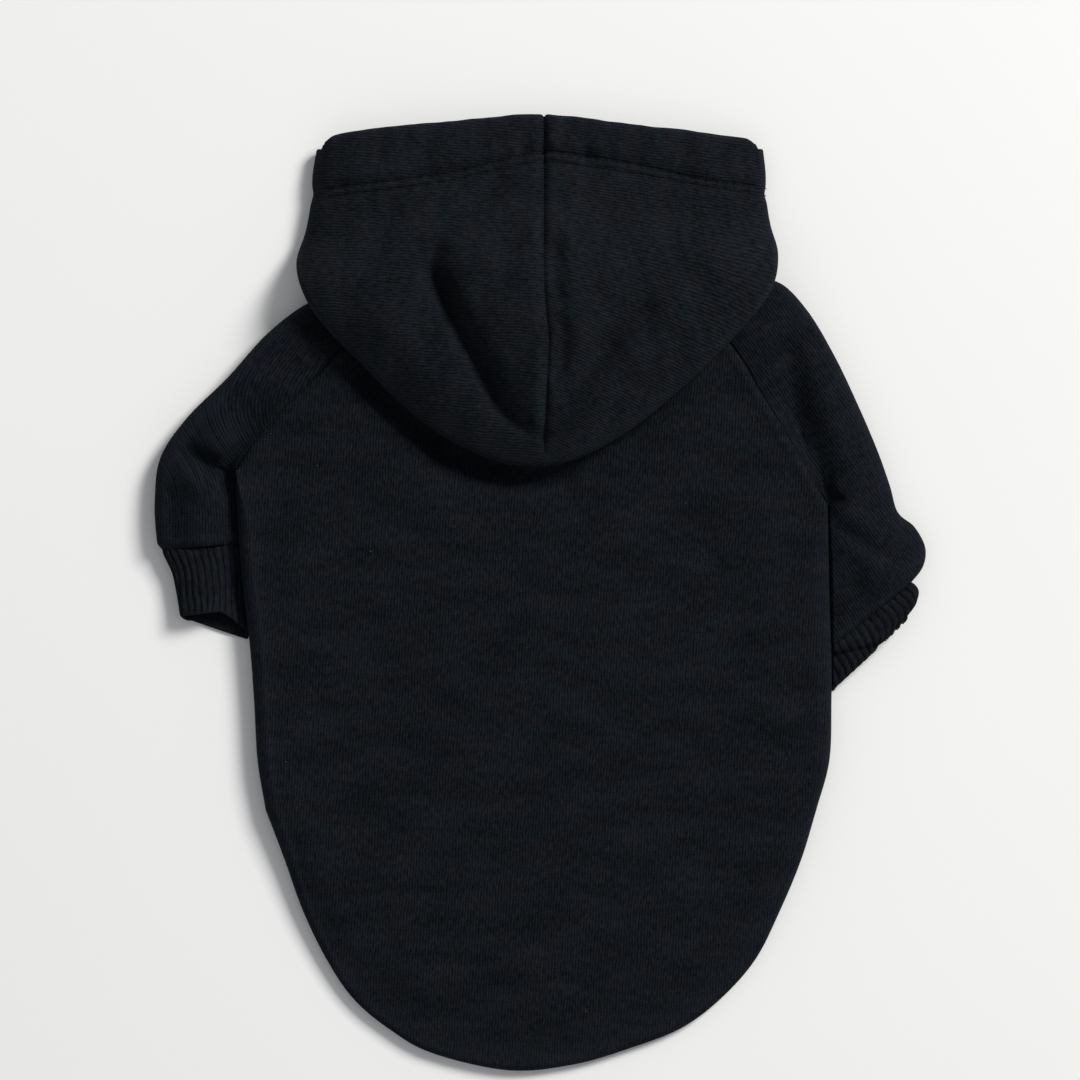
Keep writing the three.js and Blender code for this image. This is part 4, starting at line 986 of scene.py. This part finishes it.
def make_hood_panel(side, material):
    rows = HOOD_LEFT if side < 0 else HOOD_RIGHT
    q = np.linspace(0, 1, HOOD_LINES + 1)
    t = q * (0.36 + 0.64 * q)

    def place_of(name, at):
        x = column(rows, name + "_x", at) * HOOD_HALF
        y = HOOD_TIP_LINE + column(rows, name + "_y", at) * HOOD_LENGTH
        return np.stack([side * np.maximum(CENTRE_OVERLAP, x), y], -1)

    neck = place_of("neck", t)
    fold = place_of("side", t)
    front = place_of("front", t)
    ahead = place_of("side", np.minimum(1, t + 0.03))
    along = unit(ahead - place_of("side", np.maximum(0, t - 0.03)))
    out = np.stack([along[:, 1] * side, -along[:, 0] * side], -1)
    near_seam = np.exp(-(t / 0.02))[:, None]
    out = unit(mix(out, np.array([0.0, -1.0]), near_seam))
    low = hood_rest(fold[:, 0], fold[:, 1])
    high = low + HOOD_RIM_LOFT
    r = (high - low) / 2
    inset = fold - out * r[:, None]
    inset[0, 0] = fold[0, 0]
    neck_high = column(rows, "neck_lift", t) * HOOD_REST
    u = (np.arange(HOOD_UNDER_STEPS) / HOOD_UNDER_STEPS)[None]
    under = np.stack([
        mix(neck[:, :1], inset[:, :1], u),
        mix(neck[:, 1:], inset[:, 1:], u),
        np.maximum(0, mix(neck_high[:, None], low[:, None], smooth(0, 0.85, u))),
    ], -1)
    a = mix(-math.pi / 2, HOOD_ROLL_ANGLE, np.arange(HOOD_FOLD_STEPS) / HOOD_FOLD_STEPS)
    reach = r * (1 - 0.14 * hill(fold[:, 1] - SIDE_PINCH_LINE, 3.0))
    bend = np.stack([
        inset[:, :1] + reach[:, None] * np.cos(a) * out[:, :1],
        inset[:, 1:] + reach[:, None] * np.cos(a) * out[:, 1:],
        low[:, None] + r[:, None] + r[:, None] * np.sin(a),
    ], -1)
    start = inset + out * (reach * math.cos(HOOD_ROLL_ANGLE))[:, None]
    start[0, 0] = fold[0, 0]
    high = low + r + r * math.sin(HOOD_ROLL_ANGLE)
    length = np.linalg.norm(front - start, axis=1)[:, None]
    k = (np.arange(HOOD_TOP_STEPS + 1) / HOOD_TOP_STEPS)[None]
    casing = np.minimum(CASING_REACH, 0.5 * length)
    to_front = np.where(k < 0.5, mix(length, casing, k / 0.5), casing * (1 - (k - 0.5) / 0.5))
    share = 1 - to_front / np.maximum(length, 1e-6)
    x = mix(start[:, :1], front[:, :1], share)
    y = mix(start[:, 1:], front[:, 1:], share)
    side_x = np.interp(y, start[:, 1], np.abs(start[:, 0]))
    end_x = np.interp(front[:, 1:], start[:, 1], np.abs(start[:, 0]))
    beside = side * side_x * mix(1, np.abs(front[:, :1]) / np.maximum(end_x, 1), share)
    x = mix(x, beside, smooth(0.42, 0.62, t)[:, None])
    from_edge = np.minimum(length - to_front, np.maximum(0.9 * (side_x - np.abs(x)), 0))
    z = hood_top(x, y, from_edge, np.interp(y, start[:, 1], high))
    wide = smooth(10, 40, length)
    z = z + casing_relief(x, y) * smooth(6, 20, length) * smooth(0, 5, from_edge)
    thick_top = mix(CLOTH, CASING_CLOTH, (1 - smooth(20, 24, to_front)) * wide)
    top = np.stack([x, y, z], -1)
    place = np.concatenate([under, bend, top], 1)
    below = np.ones((len(t), HOOD_UNDER_STEPS + HOOD_FOLD_STEPS))
    thick = np.concatenate([CLOTH * below, thick_top], 1)
    rolled = r[:, None] * (HOOD_ROLL_ANGLE - a)
    chart_x = np.concatenate([under[..., 0], start[:, :1] + out[:, :1] * rolled, x], 1)
    chart_y = np.concatenate([under[..., 1], start[:, 1:] + out[:, 1:] * rolled, y], 1)
    lean = 0.07 if side < 0 else mix(0.14, 0.44, 1 - smooth(70, 205, chart_y))
    chart = np.stack([chart_y + chart_x * lean, chart_x - chart_y * lean], -1)
    wander = np.interp(place[..., 1], SEAM_WANDER["y"], SEAM_WANDER["x"])
    place[..., 0] += wander * np.exp(-np.abs(place[..., 0]) / 28.0)
    fixed = np.full(place.shape, np.nan)
    fixed[0, :, 2] = IN_SEAM_PLANE
    edge = np.ones(place.shape[:2])
    edge[0] = 0.0
    edge[:, 0] = 0.0
    # Lighter along the rolled fold and the front edge: partly wear, partly painted highlight
    columns = np.arange(place.shape[1])
    fold_column = HOOD_UNDER_STEPS + HOOD_FOLD_STEPS * 0.75
    worn = 0.55 * hill(columns - fold_column, 6.0)[None] * np.ones(place.shape[:2])
    front_wear_and_highlight = np.concatenate([0 * below, np.exp(-to_front / 2.0)], 1)
    cloth = Cloth()
    cloth.grid(place, chart, thick, side > 0, fixed, edge, np.maximum(worn, front_wear_and_highlight))
    return cloth.mesh("fleece_hood_left" if side < 0 else "fleece_hood_right", material)


# Materials

class Tree:
    """Short way to add and join shader nodes."""

    def __init__(self, name):
        self.material = bpy.data.materials.new(name)
        self.material.use_nodes = True
        self.nodes = self.material.node_tree.nodes
        self.shader = self.nodes["Principled BSDF"].inputs

    def add(self, kind, inputs=(), **values):
        """A node: inputs are links or constants in pairs with a socket's name or number."""
        node = self.nodes.new(kind)
        for key, value in values.items():
            setattr(node, key, value)
        for key, value in inputs:
            self.feed(node.inputs[key], value)
        return node

    def feed(self, socket, value):
        if isinstance(value, bpy.types.NodeSocket):
            self.material.node_tree.links.new(value, socket)
        elif isinstance(value, tuple) and len(value) < len(socket.default_value):
            socket.default_value = value + (1.0,)
        else:
            socket.default_value = value

    def point(self):
        return self.add("ShaderNodeTexCoord").outputs["Object"]

    def math(self, operation, *values):
        return self.add("ShaderNodeMath", enumerate(values), operation=operation).outputs[0]

    def scaled(self, vector, scale):
        return self.add("ShaderNodeMapping", (("Vector", vector), ("Scale", scale))).outputs[0]

    def noise(self, vector, scale, detail, roughness=0.6):
        return self.add("ShaderNodeTexNoise", (
            ("Vector", vector), ("Scale", scale), ("Detail", detail), ("Roughness", roughness),
        )).outputs["Fac"]

    def remap(self, value, low, high, to_low=0.0, to_high=1.0):
        return self.add("ShaderNodeMapRange", (
            ("Value", value), ("From Min", low), ("From Max", high),
            ("To Min", to_low), ("To Max", to_high),
        ), clamp=True).outputs["Result"]

    def blend(self, factor, a, b, kind="MIX"):
        return self.add("ShaderNodeMix", ((0, factor), (6, a), (7, b)),
                        data_type="RGBA", blend_type=kind).outputs[2]

    def weighted(self, *terms):
        """Sum of values, each times its share."""
        parts = [self.math("MULTIPLY", value, share) for value, share in terms]
        total = parts[0]
        for part in parts[1:]:
            total = self.math("ADD", total, part)
        return total

    def finish(self, color, roughness, settings, relief=None, strength=1.0, depth=0.001):
        self.feed(self.shader["Base Color"], color)
        self.feed(self.shader["Roughness"], roughness)
        for name, value in settings:
            self.feed(self.shader[name], value)
        if relief:
            bump = self.add("ShaderNodeBump", (
                ("Height", relief), ("Strength", strength), ("Distance", depth)))
            self.feed(self.shader["Normal"], bump.outputs[0])
        return self.material


def knit_material(name, dark, light, sheen, wale_mm, course_mm, depth_mm, wale_share):
    """Knitted black fleece: wales and courses, heather streaks, fuzz and lint."""
    m = Tree(name)
    chart = m.add("ShaderNodeUVMap", uv_map="cloth").outputs[0]
    solid = m.point()
    across, down, _ = m.add("ShaderNodeSeparateXYZ", ((0, chart),)).outputs
    drift = m.math("SUBTRACT", m.noise(chart, 55.0, 2.0), 0.5)
    across = m.math("ADD", across, m.math("MULTIPLY", drift, WALE_DRIFT))
    wale = m.math("ABSOLUTE", m.math("SINE", m.math("MULTIPLY", across, math.pi / (wale_mm * MM))))
    turn = m.math("MULTIPLY", down, 2 * math.pi / (course_mm * MM))
    turn = m.math("ADD", turn, m.math("MULTIPLY", wale, 1.9))
    course = m.math("ADD", m.math("MULTIPLY", m.math("SINE", turn), 0.5), 0.5)
    along = m.scaled(chart, (1.0, 0.36, 1.0))
    wide = m.scaled(chart, (0.4, 1.0, 1.0))
    streak = m.remap(m.noise(along, 760.0, 3.0, 0.72), 0.32, 0.68)
    fuzz = m.remap(m.noise(solid, 1500.0, 4.0, 0.75), 0.33, 0.67)
    cloud = m.remap(m.noise(wide, 75.0, 4.0, 0.62), 0.34, 0.66)
    tint = m.remap(m.noise(wide, 105.0, 5.0, 0.7), 0.38, 0.62)
    tone = m.weighted(
        (wale, wale_share), (streak, 0.42), (fuzz, 0.26), (cloud, 0.2), (course, 0.08))
    tone = m.math("POWER", m.remap(tone, 0.26, 1.08), 1.35)
    base = m.blend(1.0, m.blend(tone, dark, light), m.blend(tint, COOL_TINT, WARM_TINT), "MULTIPLY")
    # Lighter colour from the point attribute: partly real wear of the fleece, partly painted
    # highlight on fold crests, cut rims and rib tops
    worn = m.add("ShaderNodeAttribute", attribute_name="worn").outputs["Fac"]
    wear_and_highlight_share = m.math("MULTIPLY", worn, m.remap(fuzz, 0.2, 0.9, 0.1, 0.6))
    base = m.blend(wear_and_highlight_share, base, tuple(WEAR_AND_HIGHLIGHT_GAIN * v for v in light))
    spots = m.add("ShaderNodeTexVoronoi", (("Vector", solid), ("Scale", 260.0)))
    chosen = m.add("ShaderNodeSeparateColor", ((0, spots.outputs["Color"]),)).outputs[0]
    rare = m.math("GREATER_THAN", chosen, 0.991)
    dot = m.math("LESS_THAN", spots.outputs["Distance"], 0.075)
    lint = m.math("MULTIPLY", m.math("MULTIPLY", rare, dot), 0.5)
    relief = m.weighted((wale, 0.5), (course, 0.2), (fuzz, 0.3), (streak, 0.3))
    return m.finish(m.blend(lint, base, LINT_COLOR), m.remap(fuzz, 0.0, 1.0, 0.86, 1.0), (
        ("Specular IOR Level", 0.05), ("Sheen Weight", sheen), ("Sheen Roughness", 0.5),
        ("Sheen Tint", SHEEN_TINT),
    ), relief, 1.0, depth_mm * MM)


def thread_material():
    m = Tree("stitching_thread_black")
    twist = m.noise(m.point(), 2600.0, 2.0)
    color = m.blend(m.remap(twist, 0.35, 0.65), (0.003, 0.0036, 0.0046), (0.010, 0.0118, 0.0145))
    return m.finish(color, m.remap(twist, 0.3, 0.7, 0.7, 0.85), (
        ("Specular IOR Level", 0.12), ("Sheen Weight", 0.02),
    ), twist, 0.6, 0.0001)


def floor_material():
    m = Tree("pale_table")
    haze = m.noise(m.point(), 3.0, 2.0)
    color = m.blend(haze, (0.865, 0.865, 0.865), (0.885, 0.885, 0.885))
    return m.finish(color, 0.9, (("Specular IOR Level", 0.1),))


# Stitches

STITCH_NODES = {
    "enter": "NodeGroupInput", "leave": "NodeGroupOutput", "curve": "GeometryNodeMeshToCurve",
    "spaced": "GeometryNodeResampleCurve", "tangent": "GeometryNodeInputTangent",
    "align": "FunctionNodeAlignRotationToVector", "line": "GeometryNodeCurvePrimitiveLine",
    "bent": "GeometryNodeResampleCurve", "place": "GeometryNodeSetPosition",
    "index": "GeometryNodeInputIndex", "sag": "ShaderNodeMath", "square": "ShaderNodeMath",
    "drop": "ShaderNodeMath", "offset": "ShaderNodeCombineXYZ",
    "ring": "GeometryNodeCurvePrimitiveCircle", "body": "GeometryNodeCurveToMesh",
    "copies": "GeometryNodeInstanceOnPoints", "real": "GeometryNodeRealizeInstances",
    "paint": "GeometryNodeSetMaterial",
}
STITCH_MODES = (
    ("spaced", "mode", "LENGTH"), ("align", "axis", "X"), ("line", "mode", "DIRECTION"),
    ("sag", "operation", "SUBTRACT"), ("square", "operation", "POWER"),
    ("drop", "operation", "MULTIPLY"),
)
STITCH_CONSTANTS = (
    ("line", "Start", (0, 0, 0)), ("line", "Direction", (1, 0, 0)), ("bent", "Count", 5),
    ("sag", 1, 2.0), ("square", 1, 2.0), ("drop", 1, -STITCH_SAG),
    ("ring", "Resolution", 6), ("body", "Fill Caps", True),
)
STITCH_LINKS = (
    ("enter", "Geometry", "curve", "Mesh"), ("curve", 0, "spaced", "Curve"),
    ("enter", "Pitch", "spaced", "Length"), ("tangent", 0, "align", "Vector"),
    ("enter", "Stitch Length", "line", "Length"), ("line", 0, "bent", "Curve"),
    ("index", 0, "sag", 0), ("sag", 0, "square", 0), ("square", 0, "drop", 0),
    ("drop", 0, "offset", "Z"), ("bent", 0, "place", "Geometry"),
    ("offset", 0, "place", "Offset"), ("enter", "Thread Radius", "ring", "Radius"),
    ("place", 0, "body", "Curve"), ("ring", "Curve", "body", "Profile Curve"),
    ("spaced", 0, "copies", "Points"), ("body", 0, "copies", "Instance"),
    ("align", 0, "copies", "Rotation"), ("copies", 0, "real", 0),
    ("real", 0, "paint", "Geometry"), ("enter", "Thread", "paint", "Material"),
    ("paint", 0, "leave", 0),
)


def stitch_tree():
    """Stitches along a line, and the sockets of its sizes and its thread by name."""
    tree = bpy.data.node_groups.new("stitches_along_line", "GeometryNodeTree")

    def socket(name, kind, in_out="INPUT"):
        return tree.interface.new_socket(name, in_out=in_out, socket_type="NodeSocket" + kind)

    socket("Geometry", "Geometry")
    sockets = {}
    for name, value in STITCH_SIZES.items():
        size = socket(name, "Float")
        size.default_value = value
        sockets[name] = size.identifier
    sockets["Thread"] = socket("Thread", "Material").identifier
    socket("Geometry", "Geometry", "OUTPUT")
    nodes = {name: tree.nodes.new(kind) for name, kind in STITCH_NODES.items()}
    for name, key, value in STITCH_MODES:
        setattr(nodes[name], key, value)
    for name, key, value in STITCH_CONSTANTS:
        nodes[name].inputs[key].default_value = value
    for a, source, b, target in STITCH_LINKS:
        tree.links.new(nodes[a].outputs[source], nodes[b].inputs[target])
    return tree, sockets


def surface_of(pieces):
    """Function that gives the height of the highest piece at a place, in metres."""
    graph = bpy.context.evaluated_depsgraph_get()
    trees = [BVHTree.FromObject(piece, graph) for piece in pieces]

    def height(x, y):
        hits = [tree.ray_cast(Vector((x, y, 0.2)), Vector((0, 0, -1)))[0] for tree in trees]
        return max((hit.z for hit in hits if hit is not None), default=None)

    return height


def link_new(name, data):
    made = bpy.data.objects.new(name, data)
    bpy.context.scene.collection.objects.link(made)
    return made


def make_stitches(name, rows, pieces, tree, sockets, thread):
    height = surface_of(pieces)
    points = []
    for x in np.arange(rows["x"][0] + 3, rows["x"][-1] - 3, 1.0):
        y = float(np.interp(x, rows["x"], rows["y"])) + MIDDLE_SHIFT
        z = height(x * MM, y * MM)
        if z is not None and z > STITCH_LOWEST:
            points.append((x * MM, y * MM, z + STITCH_CLEAR))
    mesh = bpy.data.meshes.new(name)
    mesh.from_pydata(points, [(i, i + 1) for i in range(len(points) - 1)], [])
    line = link_new(name + "_line", mesh)
    live = line.modifiers.new("stitches", "NODES")
    live.node_group = tree
    for size, value in STITCH_SIZES.items():
        live[sockets[size]] = value
    live[sockets["Thread"]] = thread
    graph = bpy.context.evaluated_depsgraph_get()
    plain = bpy.data.meshes.new_from_object(line.evaluated_get(graph))
    bpy.data.objects.remove(line)
    plain.polygons.foreach_set("use_smooth", np.ones(len(plain.polygons), bool))
    return link_new(name, plain)


# Stage

def make_camera():
    data = bpy.data.cameras.new("overhead")
    data.lens = 200.0
    data.sensor_width = 36.0
    data.clip_end = 20.0
    camera = link_new("overhead", data)
    camera.location = (0.0, 0.026, 3.012)
    bpy.context.scene.camera = camera


def make_window():
    """Large soft light from the upper right."""
    data = bpy.data.lights.new("window_upper_right", "AREA")
    data.shape = "SQUARE"
    data.size = 1.95
    data.energy = 375.0
    data.color = (1.0, 0.985, 0.96)
    light = link_new("window_upper_right", data)
    light.location = (3.55, 3.1, 3.6)
    light.rotation_mode = "QUATERNION"
    light.rotation_quaternion = (-light.location).to_track_quat("-Z", "Y")


def make_stage():
    mesh = bpy.data.meshes.new("table_top")
    half = 4.0
    corner_places = [(-half, -half, 0), (half, -half, 0), (half, half, 0), (-half, half, 0)]
    mesh.from_pydata(corner_places, [], [(0, 1, 2, 3)])
    mesh.materials.append(floor_material())
    floor = link_new("table_top", mesh)
    floor.location = (0, 0, -0.0002)
    world = bpy.data.worlds.new("soft_room")
    world.use_nodes = True
    back = world.node_tree.nodes["Background"]
    back.inputs["Color"].default_value = (0.955, 0.975, 1.0, 1.0)
    back.inputs["Strength"].default_value = 0.38
    bpy.context.scene.world = world
    make_window()
    bpy.context.scene.view_settings.view_transform = "Standard"
    bpy.context.scene.view_settings.look = "None"
    return floor


make_camera()

body_fleece = knit_material(
    "black_fleece_body", (0.0009, 0.0013, 0.0019), (0.0140, 0.0172, 0.0226), 0.012, **FLEECE_KNIT)
# The sleeves' fleece is a darker copy of the body's: painted shade on the same cloth
sleeve_fleece = knit_material(
    "black_fleece_sleeve_painted_shade", (0.0008, 0.0012, 0.0017), (0.0128, 0.0162, 0.0218), 0.012, **FLEECE_KNIT)
# The hood's fleece is a slightly lighter, warmer copy of the body's: painted light on the same
# cloth
hood_fleece = knit_material(
    "black_fleece_hood_painted_light", (0.0009, 0.0013, 0.0019), (0.0143, 0.0174, 0.0225), 0.014, **FLEECE_KNIT)
rib_knit = knit_material(
    "black_rib_knit", (0.0007, 0.0010, 0.0015), (0.0136, 0.0166, 0.0212), 0.01, **RIB_KNIT)
thread = thread_material()

back = make_back_panel(body_fleece)
belly = make_belly_panel(body_fleece)
sleeve_left = make_sleeve(-1, sleeve_fleece)
sleeve_right = make_sleeve(1, sleeve_fleece)
cuff_left = make_cuff(-1, rib_knit)
cuff_right = make_cuff(1, rib_knit)
hood_left = make_hood_panel(-1, hood_fleece)
hood_right = make_hood_panel(1, hood_fleece)

stitches, stitch_sockets = stitch_tree()
upper_stitching, lower_stitching = [
    make_stitches(name, rows, [hood_left, hood_right], stitches, stitch_sockets, thread)
    for name, rows in (
        ("casing_stitches_upper", UPPER_STITCH), ("casing_stitches_lower", LOWER_STITCH))]

floor = make_stage()

# Piece, node it stands for, slot, size of the cut (width and length) and its area, both in
# metres, how it is held, what it lies on, and what is sewn on it
PIECES = [
    (back, "back_panel", "body_fleece", (0.374, 0.412), 0.116, "laid", [belly, floor], []),
    (belly, "belly_panel", "body_fleece", (0.29, 0.24), 0.054, "laid", [floor], []),
    (sleeve_left, "sleeve_left", "sleeve_fleece", (0.2, 0.17), 0.0132, "laid", [floor], []),
    (sleeve_right, "sleeve_right", "sleeve_fleece", (0.22, 0.185), 0.0173, "laid", [floor], []),
    (cuff_left, "cuff_left", "rib_knit", (0.1, 0.034), 0.0031, "laid", [floor], []),
    (cuff_right, "cuff_right", "rib_knit", (0.09, 0.03), 0.0022, "laid", [floor], []),
    (hood_left, "hood_left", "hood_fleece", (0.16, 0.283), 0.0323, "folded", [back, floor],
     [upper_stitching, lower_stitching]),
    (hood_right, "hood_right", "hood_fleece", (0.16, 0.283), 0.0287, "folded", [back, floor], []),
]
for piece, node, slot, flat, area, held, rests_on, sewn_on in PIECES:
    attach(piece, "root")
    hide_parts(node)
for piece in (upper_stitching, lower_stitching):
    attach(piece, "root")
